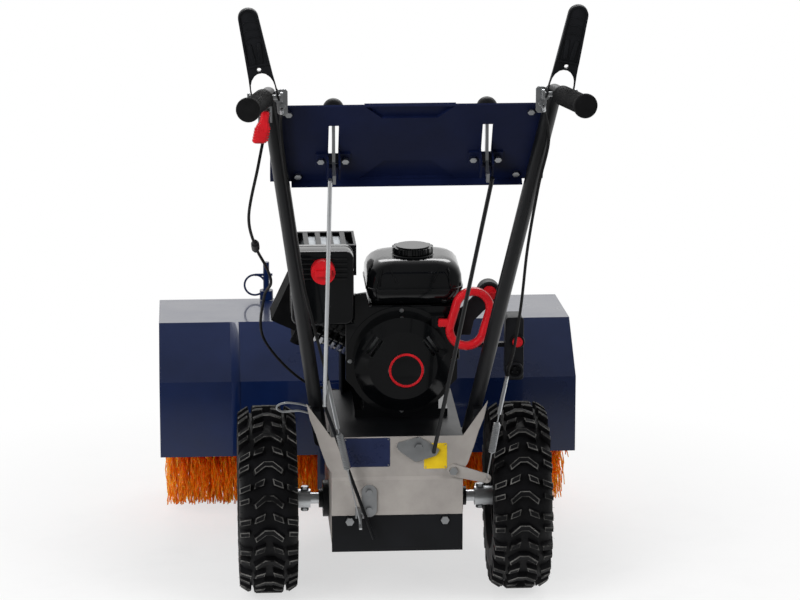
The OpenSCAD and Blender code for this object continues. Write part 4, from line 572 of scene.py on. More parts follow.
# the matt floor is painted darker behind the machine, down to a tenth, and is dark there in reflections
# too: painted shade that keeps bounce light off the machine's rear faces
behind = mapRange(tree, placeY, *floorSet["behindFrom"], *floorSet["behindTo"])
matt = addNode(tree, "ShaderNodeBsdfDiffuse", {"Color": maths(tree, "MULTIPLY", scuffTone, behind)})
glow = addNode(tree, "ShaderNodeEmission", {"Color": (1, 1, 1, 1), "Strength": 1.0})
away = addNode(tree, "ShaderNodeVectorMath", {0: place}, operation="LENGTH").outputs["Value"]
whiteness = mapRange(tree, away, *floorSet["whiteFrom"], *floorSet["whiteTo"])
inGloss = maths(tree, "MULTIPLY", rays["Is Glossy Ray"], behind)
seen = maths(tree, "MAXIMUM", rays["Is Camera Ray"], inGloss)
share = maths(tree, "MULTIPLY", seen, whiteness)
floorMix = addNode(tree, "ShaderNodeMixShader", {0: share, 1: matt.outputs[0], 2: glow.outputs[0]})
addNode(tree, "ShaderNodeOutputMaterial", {"Surface": floorMix.outputs[0]})
floorMesh.materials.append(floorPaint)
print("camera and light set")

# Tyres: a rounded carcass with rows of tread blocks, and moulding hairs at the shoulders
tyreSet = dict(centres=(-222.5, 222.5), lugs=17, carcass=155.0, halfWidth=52.0, turns=84)
tyreProfile = [(155, 0), (154.6, 18), (152.6, 31), (147, 42), (138, 48.6), (126, 51.4), (113, 51.8),
               (101, 50), (98.5, 51.2), (95.5, 50.4), (93, 47.6), (86.5, 41.8), (85.2, 37), (76.3, 36.6),
               (76.3, 30), (88, 32), (100, 41), (118, 43.5), (135, 41), (144, 27), (146, 0)]
# tread blocks, as shares of the half width and of the pitch
archBlock = [(0.16, 0.17), (0.5, -0.08), (0.45, -0.22), (0.12, 0.0), (-0.12, 0.0), (-0.45, -0.22),
             (-0.5, -0.08), (-0.16, 0.17)]
slantBlock = [(0.12, 0.16), (0.45, 0.03), (0.5, -0.15), (0.17, -0.04)]
outerBlock = [(0.6, 0.0), (0.98, -0.1), (0.98, -0.28), (0.62, -0.17)]
edgeBlock = [(0.66, 0.1), (0.98, 0.02), (0.98, -0.14), (0.66, -0.05)]
pitch = 2 * math.pi * tyreSet["carcass"] / tyreSet["lugs"]
lugSet = dict(foot=150.0, shoulder=0.62, shoulderFall=62.0, top=166.8, crown=0.55, crownFall=13.0,
              crownPower=1.6, draws=(1.1, 0.96), bevel=1.5)
hairSet = dict(perLug=3, near=46, far=47, half=0.35, footR=149, tipR=155, tipAside=1.5, tipOut=53, tipIn=51)


def lugBlock(outline, turnShare):
    # a tread block whose foot follows the carcass and whose flanks lean in a little
    vertices, n = [], len(outline)
    middle = Vector((sum(p[0] for p in outline) / n, sum(p[1] for p in outline) / n))
    for level, draw in enumerate(lugSet["draws"]):
        for x, t in outline:
            x, t = middle.x + (x - middle.x) * draw, middle.y + (t - middle.y) * draw
            across = min(abs(x), 1.0)
            r = lugSet["foot"] - max(0.0, across - lugSet["shoulder"]) * lugSet["shoulderFall"]
            if level:
                past = max(0.0, across - lugSet["crown"]) / (1 - lugSet["crown"])
                r = lugSet["top"] - lugSet["crownFall"] * past ** lugSet["crownPower"]
            a = (t + turnShare) * pitch / tyreSet["carcass"]
            vertices.append(Vector((x * tyreSet["halfWidth"], -r * math.sin(a), -r * math.cos(a))) * mm)
    block = meshFrom(vertices, ringFaces(2, n))
    bm = bmesh.new()
    bm.from_mesh(block)
    # the bevel faces of the top edges are marked for the paler edge tone, a painted highlight
    highlightLayer = bm.faces.layers.float.new("edgeHighlight")
    edges = [e for e in bm.edges if all(v.index >= n for v in e.verts)]
    bevels = bmesh.ops.bevel(bm, geom=edges, offset=lugSet["bevel"] * mm, segments=2, affect="EDGES")
    for face in bevels["faces"]:
        face[highlightLayer] = 1.0
    bm.to_mesh(block)
    bm.free()
    return block


def oneTyre(x):
    def ringOf(mesh, count):
        return copiesOf(mesh, ringTree, count, (0, 0, 0), (1, 0, 0), "tyreRubber")

    profile = tyreProfile + [(r, -w) for r, w in reversed(tyreProfile[1:-1])]
    carcass = lathe(profile, Vector((0, 0, 0)), (1, 0, 0), tyreSet["turns"], closed=True)
    blocks = [lugBlock(archBlock, 0.0)]
    for flip in (-1, 1):
        blocks += [lugBlock([(flip * px, t) for px, t in shape], shift)
                   for shape, shift in ((slantBlock, 0.5), (outerBlock, 0.5), (edgeBlock, 0.0))]
    parts = [carcass, ringOf(joinMeshes(blocks), tyreSet["lugs"])]
    for side in (-1, 1):
        tipX = hairSet["tipOut"] if side * x > 0 else hairSet["tipIn"]
        corners = [(hairSet["near"], -hairSet["half"], -hairSet["footR"]),
                   (hairSet["near"], hairSet["half"], -hairSet["footR"]),
                   (hairSet["far"], 0, -hairSet["footR"]), (tipX, hairSet["tipAside"], -hairSet["tipR"])]
        hair = meshFrom([Vector((side * px, py, pz)) * mm for px, py, pz in corners],
                        [(0, 1, 2), (0, 1, 3), (1, 2, 3), (2, 0, 3)], merge=False)
        parts.append(ringOf(hair, hairSet["perLug"] * tyreSet["lugs"]))
    return placed(joinMeshes(parts), x, 0, axleSet["up"])


tyres = [oneTyre(x) for x in tyreSet["centres"]]
keepMesh("lugTyres", tyres, "tyreRubber", 32, "tyres", "wheels")
print("tyres made")

# Brush: wavy strands set in rings on each half of the core
brushSet = dict(axisY=518.0, axisZ=175.5, inner=31.0, outer=374.5, coreR=59.0, tipR=173.4, strands=5900,
                rings=17)
strandSet = dict(rings=6, sides=3, radius=1.45, taper=0.3, sway=1.6, ringSpread=(0.12, 0.88), lean=0.085,
                 spin=0.16, roll=6.28, shortest=0.93)
backingSet = dict(boreR=54.4, lowStep=-3, highStep=5, flank=3, turns=40)


def strandMesh():
    # a crimped strand of unit length along Z
    vertices = []
    for i in range(strandSet["rings"]):
        share = i / (strandSet["rings"] - 1)
        sway = strandSet["sway"] * mm * (1 if i % 2 else -1) * (0 if i == 0 else 1)
        r = strandSet["radius"] * mm * (1.0 - strandSet["taper"] * share)
        vertices += [Vector((sway + r * c, r * s, share)) for c, s in circle(strandSet["sides"])]
    return meshFrom(vertices, ringFaces(strandSet["rings"], strandSet["sides"]), merge=False)


def strandTree():
    tree, source = newTree("bristleRings", (
        ("Strands", "Int"), ("Rings", "Int"), ("Start", "Float"), ("Length", "Float"),
        ("Core Radius", "Float"), ("Strand Length", "Float"), ("Seed", "Int"), ("Centre", "Vector"),
        ("Finish", "Material")))

    def calc(operation, a, b=0.0):
        return maths(tree, operation, a, b)

    def chance(k, low, high):
        seed = calc("ADD", source["Seed"], float(k))
        node = addNode(tree, "FunctionNodeRandomValue", {"Seed": seed}, data_type="FLOAT")
        node.inputs[2].default_value = low
        node.inputs[3].default_value = high
        return node.outputs[1]

    def point(x, y, z):
        return addNode(tree, "ShaderNodeCombineXYZ", {"X": x, "Y": y, "Z": z}).outputs[0]

    line = addNode(tree, "GeometryNodeMeshLine", {"Count": source["Strands"], "Offset": (0, 0, 0)})
    index = addNode(tree, "GeometryNodeInputIndex").outputs["Index"]
    ring = calc("ADD", calc("MODULO", index, source["Rings"]), chance(0, *strandSet["ringSpread"]))
    share = calc("DIVIDE", ring, source["Rings"])
    along = calc("ADD", source["Start"], calc("MULTIPLY", share, source["Length"]))
    angle = chance(1, 0.0, 2 * math.pi)
    lean = chance(2, -strandSet["lean"], strandSet["lean"])
    spun = calc("ADD", angle, chance(3, -strandSet["spin"], strandSet["spin"]))
    aim = point(lean, calc("COSINE", spun), calc("SINE", spun))
    foot = point(along, calc("MULTIPLY", calc("COSINE", angle), source["Core Radius"]),
                 calc("MULTIPLY", calc("SINE", angle), source["Core Radius"]))
    footAt = addNode(tree, "ShaderNodeVectorMath", {0: foot, 1: source["Centre"]}, operation="ADD")
    points = addNode(tree, "GeometryNodeSetPosition", {
        "Geometry": line.outputs[0], "Position": footAt.outputs[0]})
    lookOut = addNode(tree, "FunctionNodeAlignRotationToVector", {"Vector": aim}, axis="Z")
    roll = addNode(tree, "FunctionNodeAxisAngleToRotation", {
        "Axis": (0, 0, 1), "Angle": chance(4, 0.0, strandSet["roll"])})
    turn = addNode(tree, "FunctionNodeRotateRotation", {
        "Rotation": lookOut.outputs[0], "Rotate By": roll.outputs[0]}, rotation_space="LOCAL")
    length = calc("MULTIPLY", source["Strand Length"], chance(5, strandSet["shortest"], 1.0))
    copies = addNode(tree, "GeometryNodeInstanceOnPoints", {
        "Points": points.outputs[0], "Instance": source["Geometry"], "Rotation": turn.outputs[0],
        "Scale": point(1.0, 1.0, length)})
    shade = addNode(tree, "GeometryNodeStoreNamedAttribute", {
        "Geometry": copies.outputs[0], "Name": "strandShade"}, data_type="FLOAT", domain="INSTANCE")
    tree.links.new(chance(6, 0.0, 1.0), [s for s in shade.inputs if s.name == "Value" and s.enabled][0])
    endTree(tree, source, shade.outputs[0])
    return tree


bristleTree = strandTree()
brushMiddle = headAt(0, brushSet["axisY"], brushSet["axisZ"])
inner, outer, coreR = brushSet["inner"], brushSet["outer"], brushSet["coreR"]
for node, start, seed in (("left_bristles", -outer, 11), ("right_bristles", inner, 23)):
    strands = runTree(bristleTree, strandMesh(), {
        "Strands": brushSet["strands"], "Rings": brushSet["rings"], "Start": start * mm,
        "Length": (outer - inner) * mm, "Core Radius": coreR * mm,
        "Strand Length": (brushSet["tipR"] - coreR) * mm, "Seed": seed,
        "Centre": tuple(brushMiddle), "Finish": made["orangePolypropylene"]})
    name = node.replace("_", ".") + ".strands"
    keepMesh(name, strands, "orangePolypropylene", 0, node, "brush")
wafer = []
lowR, highR = coreR + backingSet["lowStep"], coreR + backingSet["highStep"]
for k in range(brushSet["rings"]):
    low, high = (inner + (outer - inner) * j / brushSet["rings"] for j in (k, k + 1))
    wafer += [(lowR, low), (highR, low + backingSet["flank"]), (highR, high - backingSet["flank"])]
wafer += [(lowR, outer), (backingSet["boreR"], outer), (backingSet["boreR"], inner)]
backs = [lathe([(r, side * h) for r, h in wafer], brushMiddle, (1, 0, 0), backingSet["turns"],
               closed=True) for side in (-1, 1)]
keepMesh("brushBacking", backs, "orangePolypropylene", 40, body="brush")
print("brush made")

# Clutch springs: close-wound wire with a straight lead at each end
coilSet = dict(radius=5.4, wire=1.2, pitch=3.0, steps=16)
springSet = {
    "drive_spring": dict(top=(175, -164, 364), end=(155, -164, 250.5), lead=14, tail=44,
                         joint="drive_clutch_swing", keep=0.88),
    "brush_spring": dict(top=(-104, -190, 350), end=(-66, -190, 178), lead=8, tail=100,
                         joint="brush_clutch_swing", keep=0.955),
}
for node, look in springSet.items():
    top, end = at(*look["top"]), at(*look["end"])
    run = end - top
    t = run.normalized()
    sideways = t.orthogonal().normalized()
    up = t.cross(sideways)
    body = run.length / mm - look["lead"] - look["tail"]
    count = int(body / coilSet["pitch"]) * coilSet["steps"]
    line = [top]
    for i in range(count + 1):
        a = 2 * math.pi * i / coilSet["steps"]
        ease = min(1.0, i / coilSet["steps"], (count - i) / coilSet["steps"])
        line.append(top + t * (look["lead"] + body * i / count) * mm
                    + (sideways * math.cos(a) + up * math.sin(a)) * coilSet["radius"] * ease * mm)
    line.append(end)
    coil = sweep(line, coilSet["wire"], 8)
    piece = keepMesh(node.replace("_", ".") + ".coil", coil, "zincPlate", 60, node)
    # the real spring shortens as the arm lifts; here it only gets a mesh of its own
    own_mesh(piece)

# Control cables: smooth sheaths on the routes of the CAD solids, with crimped ferrules at the ends
cableSet = dict(radius=2.5, routes=[
    [(-206, -574, 988), (-207, -530, 950), (-199, -472, 866), (-188, -420, 790), (-170, -334, 660),
     (-140, -240, 520), (-124.6, -190, 451.5), (-121.8, -190, 437.7), (-119, -190, 424)],
    [(206, -574, 988), (222, -508, 920), (212, -450, 832), (203, -368, 710), (200, -290, 590),
     (194, -220, 490), (191.4, -167, 447.4), (188.7, -166.5, 433.7), (186, -166, 420)],
    [(-233, -560, 950), (-244, -545, 890), (-258, -460, 790), (-246, -360, 716), (-226, -260, 655),
     (-216, -150, 600), (-226, -40, 545), (-224, 80, 440), (-150, 190, 330), (-62, 226, 294),
     (-35, 210, 279.5)]])
ferruleProfile = [(0, 0), (3.1, 0), (3.4, 0.6), (3.4, 5), (3, 6), (3.4, 7), (3.4, 12), (2.6, 13)]
sheaths = []
ferrules = []
for route in cableSet["routes"]:
    points = [at(*p) for p in route]
    sheaths.append(sweep(smoothLine(points, 10), cableSet["radius"], 12))
    for p, q in ((points[0], points[1]), (points[-1], points[-2])):
        ferrules.append(lathe(ferruleProfile, p, q - p, 16))
keepMesh("controlCables", sheaths, "mouldedRubber", 50, "control_cables")
keepMesh("cableFerrules", ferrules, "zincPlate", 40)
print("springs and cables made")

# Plain stickers with their rivets, and the starter's badge
stickerSet = {
    "bluePlate": dict(size=(80, 52), place=(-52.5, -150.3, 295), finish="blueFoil"),
    "yellowPlate": dict(size=(40, 46), place=(66.5, -150.3, 287), finish="yellowFoil"),
}
stickerMake = dict(thick=0.5, corner=2.5, rivetIn=3, rivetY=-150.4, rivet=[(0, 1), (0.9, 0.8), (1.5, 0)])
rivets = []
for name, look in stickerSet.items():
    (width, height), (x, y, z) = look["size"], look["place"]
    plate = roundedPlate(width, height, stickerMake["thick"], stickerMake["corner"])
    keepMesh(name, placed(plate, x, y, z), look["finish"], 40)
    aside, above = width / 2 - stickerMake["rivetIn"], height / 2 - stickerMake["rivetIn"]
    places = [at(x + sx * aside, stickerMake["rivetY"], z + sz * above) for sx in (-1, 1) for sz in (-1, 1)]
    rivets += [lathe(stickerMake["rivet"], rivetAt, (0, -1, 0), 10) for rivetAt in places]
keepMesh("plateRivets", rivets, "zincPlate", 40)
badgeSet = dict(place=(20, -80, 422), disc=[(0, 1.2), (25, 1.2), (26, 1.6), (31, 1.6), (32, 0.6), (32, 0)],
                ring=[(26.2, 1.5), (27, 2.0), (30, 2.0), (30.8, 1.5)])
badge = lathe(badgeSet["disc"], at(*badgeSet["place"]), (0, -1, 0), 64)
keepMesh("starterBadge", badge, "glossBlackEnamel", 30)
ring = lathe(badgeSet["ring"], at(*badgeSet["place"]), (0, -1, 0), 64, closed=True)
keepMesh("starterBadgeRing", ring, "redAbs", 30)
print("stickers made")

# Fuel tank: two pressed shells with a rolled seam, pressed ridges, a filler neck and two feet
tankSet = dict(
    centre=(37, 22), neckAt=(37, 18), ridge=1.8,
    levels=[(531, 68, 58, 20), (533, 74, 64, 22), (541, 80, 70, 24), (552, 83.6, 74, 26),
            (556, 83.8, 74.2, 26), (557, 85.4, 75.9, 27), (561, 85.4, 75.9, 27), (562, 83.8, 74.2, 26),
            (580, 82.6, 73, 28), (591, 79, 69.5, 30), (599, 73, 63.5, 31), (604.5, 65, 56, 30),
            (607.4, 55, 47, 28), (608, 46, 38, 26)],
    neck=[(0, 606), (38, 606), (38, 608.2), (36.6, 609.4), (25, 609.6), (23, 609.9), (23, 611), (0, 611)],
    ridges=[[(61, 566), (61, 574), (60.5, 582), (59, 590), (57, 595)],
            [(44, 597), (40, 589), (35, 580), (31, 572)]],
    feet=[((-38, -12, 495), (-22, 4, 533)), ((50, -12, 495), (66, 104, 533))])


def tankBack(z):  # how far back the shell reaches at a height
    low, high = next((a, b) for a, b in zip(tankSet["levels"], tankSet["levels"][1:]) if a[0] <= z <= b[0])
    return tankSet["centre"][1] - low[2] - (high[2] - low[2]) * (z - low[0]) / (high[0] - low[0])


tankParts = [placed(loft(tankSet["levels"]), *tankSet["centre"], 0),
             lathe(tankSet["neck"], at(*tankSet["neckAt"], 0), (0, 0, 1), 48)]
tankParts += [box(low, high, 2.0) for low, high in tankSet["feet"]]
for line in tankSet["ridges"]:
    for s in (-1, 1):
        crest = [at(tankSet["centre"][0] + s * x, tankBack(z), z) for x, z in line]
        tankParts.append(sweep(smoothLine(crest, 4), tankSet["ridge"], 8))
keepMesh("fuelTankShell", tankParts, "glossBlackEnamel", 28, "fuel_tank")

# Cooling duct between the block and the tank
ductSet = dict(low=(-46, -27, 494.5), high=(108, 60, 529.5), bevel=5.0)
duct = box(ductSet["low"], ductSet["high"], ductSet["bevel"], 3)
keepMesh("coolingDuct", duct, "glossBlackEnamel", 30)

# Blower housing: the pressing that the starter is screwed to, with a shoulder up to the air cleaner
blowerSet = dict(thick=12, bevel=2.5, middleY=-35, outline=[
    (-84, 430), (-84, 497), (-69.5, 499), (-69.5, 548), (-48, 552), (-42, 527), (106, 527), (116, 516),
    (116, 430)])
blower = flatShape([blowerSet["outline"]], blowerSet["thick"], blowerSet["bevel"])
blower = placed(blower, 0, blowerSet["middleY"], 0)
keepMesh("blowerHousing", blower, "glossBlackEnamel", 35)

# Electric start: a box with a button well and a mains inlet, and a round key switch on an arm
switchSet = dict(
    low=(198, -26, 386), high=(230, 26, 500), faceDeep=7, faceBevel=1.5, corner=6, well=(219, 456, 9.7),
    backInset=1, backLap=0.5, backBevel=5.0, stay=((96, 13, 436), (202, 25, 444)), stayBevel=1.5,
    collar=[(9.8, 0), (9.8, 2.4), (11, 3.2), (12.4, 2.4), (13, 0)],
    inletAt=(214, -26, 406),
    inlet=[(0, 1), (10.6, 1), (11, 11.2), (11.8, 12), (14.2, 12), (15, 11.2), (15, 0)],
    pinCircle=5, pinTurns=(0.5, 1.17, 1.83), pin=[(0, 9.5), (1.3, 9), (1.6, 1)],
    keyAt=(168, -30, 546),
    key=[(0, 0), (13.6, 0), (14.4, 1.6), (18, 1.6), (20, -1), (20, -26), (17, -30), (0, -30)],
    arm=[(100, 470), (136, 470), (142, 496), (176, 530), (160, 560), (124, 522), (100, 506)],
    armThick=8, armBevel=1.5, armY=-24)
(x0, y0, z0), (x1, y1, z1) = switchSet["low"], switchSet["high"]
wellX, wellZ, wellR = switchSet["well"]
inset, deep = switchSet["backInset"], switchSet["faceDeep"]
well = [(wellX + px, pz) for px, pz in arc(wellZ, wellR, 0, 345, 23)]
face = roundedOutline(x0, z0, x1, z1, switchSet["corner"])
front = flatShape([face, well], deep, switchSet["faceBevel"])
arm = flatShape([switchSet["arm"]], switchSet["armThick"], switchSet["armBevel"])
inletX, inletY, inletZ = switchSet["inletAt"]
switchParts = [
    placed(front, 0, y0 + deep / 2, 0), placed(arm, 0, switchSet["armY"], 0),
    box((x0 + inset, y0 + deep - switchSet["backLap"], z0 + inset), (x1 - inset, y1, z1 - inset),
        switchSet["backBevel"], 3),
    box(*switchSet["stay"], switchSet["stayBevel"]),
    lathe(switchSet["collar"], at(wellX, y0, wellZ), (0, -1, 0), 40, closed=True),
    lathe(switchSet["inlet"], at(inletX, inletY, inletZ), (0, -1, 0), 40),
    lathe(switchSet["key"], at(*switchSet["keyAt"]), (0, -1, 0), 48)]
for turn in switchSet["pinTurns"]:
    pinX, pinZ = (switchSet["pinCircle"] * f(turn * math.pi) for f in (math.cos, math.sin))
    pinAt = at(inletX + pinX, inletY, inletZ + pinZ)
    switchParts.append(lathe(switchSet["pin"], pinAt, (0, -1, 0), 10))
keepMesh("switchHousing", switchParts, "blackNylon", 35, "switch_box")

# Air cleaner: a rounded cover with a rim, on a base, with louvres at its top
airSet = dict(size=(109, 132), corner=15, centre=(-124.5, -32, 566), deep=60, bevel=5.0, rimDeep=5,
              rimBevel=1.2, rimAhead=14, rimGrow=(1.012, 1.01), base=((-72, -26, 495), (-40, -2, 516)),
              louvre=(88, 4.4, 5, 2.1), louvres=5, louvreFirst=(-124.5, -62.4, 584), louvreStep=9)
airX, airY, airZ = airSet["centre"]
cover = roundedPlate(*airSet["size"], airSet["deep"], airSet["corner"])
cover = bevelled(cover, airSet["bevel"], 4)
rim = roundedPlate(*airSet["size"], airSet["rimDeep"], airSet["corner"])
growX, growZ = airSet["rimGrow"]
rim = moved(bevelled(rim, airSet["rimBevel"]), Matrix.Diagonal((growX, 1, growZ, 1)))
louvre = bevelled(roundedPlate(*airSet["louvre"]), 1.0)
airParts = [placed(cover, airX, airY, airZ), placed(rim, airX, airY + airSet["rimAhead"], airZ),
            box(*airSet["base"], 2.0),
            copiesOf(louvre, rowTree, airSet["louvres"], at(*airSet["louvreFirst"]),
                     (0, 0, airSet["louvreStep"] * mm), "glossBlackEnamel")]
keepMesh("airCleaner", airParts, "glossBlackEnamel", 30, "air_box")

# Starter pull: a round-edged red loop with a stem
pullSet = dict(centre=(131, -70, 511), midR=29.5, straight=40, section=(7.4, 8.9), squareness=0.7,
               leanDeg=16, sides=16, stem=((76, -76, 497), (103, -64, 511)), stemBevel=3.0)


def pullLoop():
    half, r = pullSet["straight"] / 2, pullSet["midR"]
    down = [(-r, half - pullSet["straight"] * k / 6) for k in range(1, 6)]
    path = arc(half, r, 0, 180, 24) + down + arc(-half, r, 180, 360, 24) + [(-x, -z) for x, z in down]
    path = [Vector((x, 0, z)) for x, z in path]
    wide, thick = pullSet["section"]
    ahead = Vector((0, 1, 0))
    vertices = []
    for i, p in enumerate(path):
        out = (path[(i + 1) % len(path)] - path[i - 1]).normalized().cross(ahead).normalized()
        for turn in circle(pullSet["sides"]):
            c, s = (math.copysign(abs(v) ** pullSet["squareness"], v) for v in turn)
            vertices.append((p + out * c * wide + ahead * s * thick) * mm)
    loop = meshFrom(vertices, ringFaces(len(path), pullSet["sides"], looped=True), merge=False)
    return placed(moved(loop, turned(pullSet["leanDeg"], "Y")), *pullSet["centre"])


pullParts = [pullLoop(), box(*pullSet["stem"], pullSet["stemBevel"], 3)]
keepMesh("starterPull", pullParts, "redAbs", 50, "pull_handle", "pull_handle")

# Grips: rubber sleeves with fine rings and an end flange
gripSet = dict(start=(231, -562.56, 1006), end=(262, -687, 1010), length=112, rings=24, ringStep=4.0,
               foot=[(12.7, 0.5), (14.6, 0.2), (15.6, 1.2)],
               ring=[(15.9, 4), (15.9, 6.6), (15.1, 7.2), (15.1, 7.8)],
               flange=[(16, 101.5), (17.2, 103), (19, 104.4), (19.4, 106), (19.4, 109.5), (18.2, 111.4),
                       (15, 112), (0, 112)])
gripWay = (Vector(gripSet["end"]) - Vector(gripSet["start"])).normalized()
gripFoot = Vector(gripSet["end"]) - gripWay * gripSet["length"]
gripRings = [(r, h + k * gripSet["ringStep"]) for k in range(gripSet["rings"]) for r, h in gripSet["ring"]]
gripProfile = gripSet["foot"] + gripRings + gripSet["flange"]
grips = [lathe(gripProfile, at(s * gripFoot.x, gripFoot.y, gripFoot.z),
               (s * gripWay.x, gripWay.y, gripWay.z), 40) for s in (-1, 1)]
keepMesh("ringedGrips", grips, "mouldedRubber", 40, "grips")

# Clutch paddles: moulded levers with an arch over the tube, a raised rim, two tongues and curved ribs
paddleSet = dict(
    pivot=(232.45, -568.4, 1006.2), leanOut=11, leanBack=8, thick=8, bevel=1.2, topZ=134, topR=16,
    eye=(47.5, 3.4), flank=[(22, 0), (21, 14), (19.4, 36)],
    arch=[(18.9, 0), (18.8, 17), (17.6, 25), (14.6, 32.2), (9, 38.6), (3.4, 41.2)],
    rimWidth=3.2, rimDeep=3.4, rimBevel=0.8, rimSink=0.9, rimOut=(18.6, 54), rimIn=18.2,
    tongue=(7, 34, 3.2, 3.4), tongueAt=(6.6, 76), tongueSink=0.6, tongueLean=4,
    cheek=[(4.3, 19), (9.2, 19), (10, 19.8), (10, 21.4), (9.2, 22), (4.3, 22)],
    ribs=3, ribFirst=99, ribStep=13, ribHalf=12.6, ribRise=4.5, ribR=1.3, ribSink=0.2)


def onePaddle():
    face = -paddleSet["thick"] / 2
    topZ, topR, inset = paddleSet["topZ"], paddleSet["topR"], paddleSet["rimWidth"]
    crown = arc(topZ, topR, 0, 180, 20)
    opening = flipped(paddleSet["arch"]) + paddleSet["arch"][::-1]
    outline = paddleSet["flank"] + crown + flipped(paddleSet["flank"][::-1]) + opening
    rimFoot = [paddleSet["rimOut"]]
    innerFoot = [(paddleSet["rimIn"] - inset, paddleSet["rimOut"][1] + inset)]
    rimIn = innerFoot + arc(topZ, topR - inset, 0, 180, 20) + flipped(innerFoot)
    rimOut = rimFoot + crown + flipped(rimFoot)
    rim = flatShape([rimOut, rimIn], paddleSet["rimDeep"], paddleSet["rimBevel"])
    eye = arc(*paddleSet["eye"], 0, 337.5, 15)
    parts = [flatShape([outline, eye], paddleSet["thick"], paddleSet["bevel"]),
             moved(rim, Matrix.Translation((0, (face - paddleSet["rimSink"]) * mm, 0)))]
    for s in (-1, 1):
        tongueX, tongueZ = paddleSet["tongueAt"]
        place = Matrix.Translation(Vector((s * tongueX, face - paddleSet["tongueSink"], tongueZ)) * mm)
        lean = turned(s * paddleSet["tongueLean"], "Y")
        parts.append(moved(bevelled(roundedPlate(*paddleSet["tongue"]), 1.0), place @ lean))
        cheek = [(r, s * x) for r, x in paddleSet["cheek"]]
        parts.append(lathe(cheek, Vector((0, 0, 0)), (1, 0, 0), 32, closed=True))
    bowY = face - paddleSet["ribSink"]
    bow = [Vector((paddleSet["ribHalf"] * u, bowY, paddleSet["ribRise"] * (1 - u ** 2))) * mm
           for u in [k / 6 for k in range(-6, 7)]]
    first, step = (Vector((0, 0, paddleSet[key])) * mm for key in ("ribFirst", "ribStep"))
    bow = sweep(bow, paddleSet["ribR"], 8)
    parts.append(copiesOf(bow, rowTree, paddleSet["ribs"], first, step, "blackNylon"))
    lean = turned(paddleSet["leanBack"], "X") @ turned(paddleSet["leanOut"], "Y")
    return moved(joinMeshes(parts), Matrix.Translation(Vector(paddleSet["pivot"]) * mm) @ lean)


for node in ("left_paddle", "right_paddle"):
    paddle = mirrored(onePaddle()) if node == "left_paddle" else onePaddle()
    name = node.replace("_", ".") + ".lever"
    keepMesh(name, placed(paddle, 0, 0, 0), "blackNylon", 35, node, node)

# Zinc cable brackets welded to the inner sides of the tubes, just ahead of the paddles
bracketSet = dict(
    placeY=-550.5, placeZ=1006.2, thick=3, bevel=0.5, boltAt=(204.5, -17),
    bolt=[(0, 5.0), (4.0, 5.0), (4.8, 4.2), (4.8, 1.4), (7.0, 1.4), (7.0, 0.0)],
    outline=[(220, -8), (220, 6), (208, 9.5), (199.5, 9.5), (196.4, 6), (196.4, -29), (200, -33),
             (208, -33), (212, -29), (214, -12)])
brackets = []
boltX, boltZ = bracketSet["boltAt"]
boltAt = Vector((boltX, -bracketSet["thick"] / 2, boltZ)) * mm
for s in (-1, 1):
    plate = flatShape([bracketSet["outline"]], bracketSet["thick"], bracketSet["bevel"])
    bolt = lathe(bracketSet["bolt"], boltAt, (0, -1, 0), 6)
    bracket = joinMeshes([plate, bolt])
    brackets.append(mirrored(bracket) if s < 0 else bracket)
bracketMesh = placed(joinMeshes(brackets), 0, bracketSet["placeY"], bracketSet["placeZ"])
keepMesh("cableBrackets", bracketMesh, "zincPlate", 35)

# Brush trigger: a red lever that widens into a ribbed finger block and leans outward
triggerSet = dict(
    place=(-232.7, -572.3, 979.7), leanOut=0.2, ribs=5, rib=(25.4, 2.2, 11, 1.0), ribBevel=0.5,
    ribFirst=-41, ribStep=4.6,
    levels=[(-46, 7, 3, 2.8), (-45, 10, 5, 4.5), (-42, 12, 6.6, 6), (-22, 12, 7, 6), (-15, 9.5, 7.4, 4),
            (-10.5, 7, 8, 3.5), (2, 6.6, 8, 3.5), (5, 5, 6, 3)])
rib = bevelled(roundedPlate(*triggerSet["rib"]), triggerSet["ribBevel"], 1)
ribs = copiesOf(rib, rowTree, triggerSet["ribs"], (0, 0, triggerSet["ribFirst"] * mm),
                (0, 0, triggerSet["ribStep"] * mm), "redAbs")
lever = joinMeshes([loft(triggerSet["levels"]), ribs])
outward = Matrix.Identity(4)
outward[0][2] = triggerSet["leanOut"]
lever = placed(moved(lever, outward), *triggerSet["place"])
keepMesh("ribbedTrigger", lever, "redAbs", 40, "trigger", "trigger")

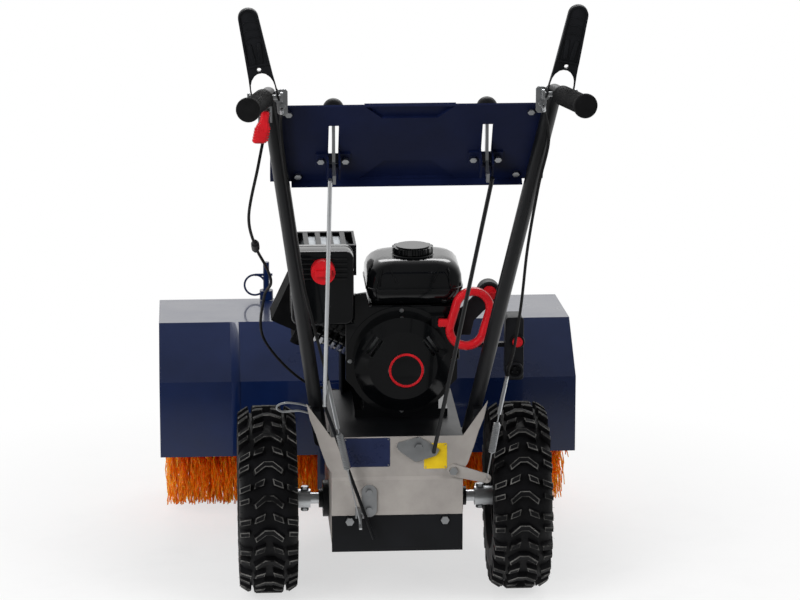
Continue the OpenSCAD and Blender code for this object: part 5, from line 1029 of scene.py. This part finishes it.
# Hood: a lapped seam up its rear wall
seamSet = dict(x=-244, half=8, sink=0.6, proud=0.6, lift=0.6, bevel=0.4,
               line=[(283.2, 163), (283.2, 303.6), (411.6, 384.2)])
seamVertices = []
for i, (y, z) in enumerate(seamSet["line"]):
    left, right = seamSet["x"] - seamSet["half"], seamSet["x"] + seamSet["half"]
    backY, backZ = y - seamSet["proud"], z + (seamSet["lift"] if i else 0)
    seamVertices += [headAt(left, y + seamSet["sink"], z), headAt(left, backY, backZ),
                     headAt(right, backY, backZ), headAt(right, y + seamSet["sink"], z)]
seam = meshFrom(seamVertices, ringFaces(len(seamSet["line"]), 4))
seam = bevelled(seam, seamSet["bevel"], 1)
keepMesh("hoodSeam", seam, "navyPowderCoat", 40, body="brush_head")

# Starter housing: screws round its flange
screwSet = dict(count=4, circle=90.6, centre=(14, -42, 430),
                profile=[(0, 4.4), (3.6, 4.4), (4.4, 3.6), (4.4, 0.6), (7.2, 0.6), (7.2, 0)])
screw = lathe(screwSet["profile"], Vector((screwSet["circle"], 0, 0)) * mm, (0, -1, 0), 6)
screws = copiesOf(screw, ringTree, screwSet["count"], at(*screwSet["centre"]), (0, 1, 0),
                  "zincPlate")
keepMesh("starterScrews", screws, "zincPlate", 30)

# Wire clip on the left wing, and the moulded joint in the trigger's cable
wireSet = dict(radius=1.7, points=[
    (-150, -147, 366), (-170, -146, 371), (-196, -144, 369), (-207, -143, 374), (-205, -143, 381),
    (-190, -144, 385), (-168, -146, 383), (-150, -147, 378)])
wire = sweep(smoothLine([at(*p) for p in wireSet["points"]], 8), wireSet["radius"], 10)
keepMesh("wireClip", wire, "zincPlate", 60)
jointSet = dict(middle=(-246, -360, 716), way=(8, 100, -91), profile=[
    (2.4, -17), (4.2, -15.5), (4.6, -11), (6.6, -9), (7.0, 0), (6.6, 9), (4.6, 11), (4.2, 15.5), (2.4, 17)])
joint = lathe(jointSet["profile"], at(*jointSet["middle"]), jointSet["way"], 20)
keepMesh("cableJoint", joint, "blackNylon", 40)
print("engine covers, grips, seam and clips made")
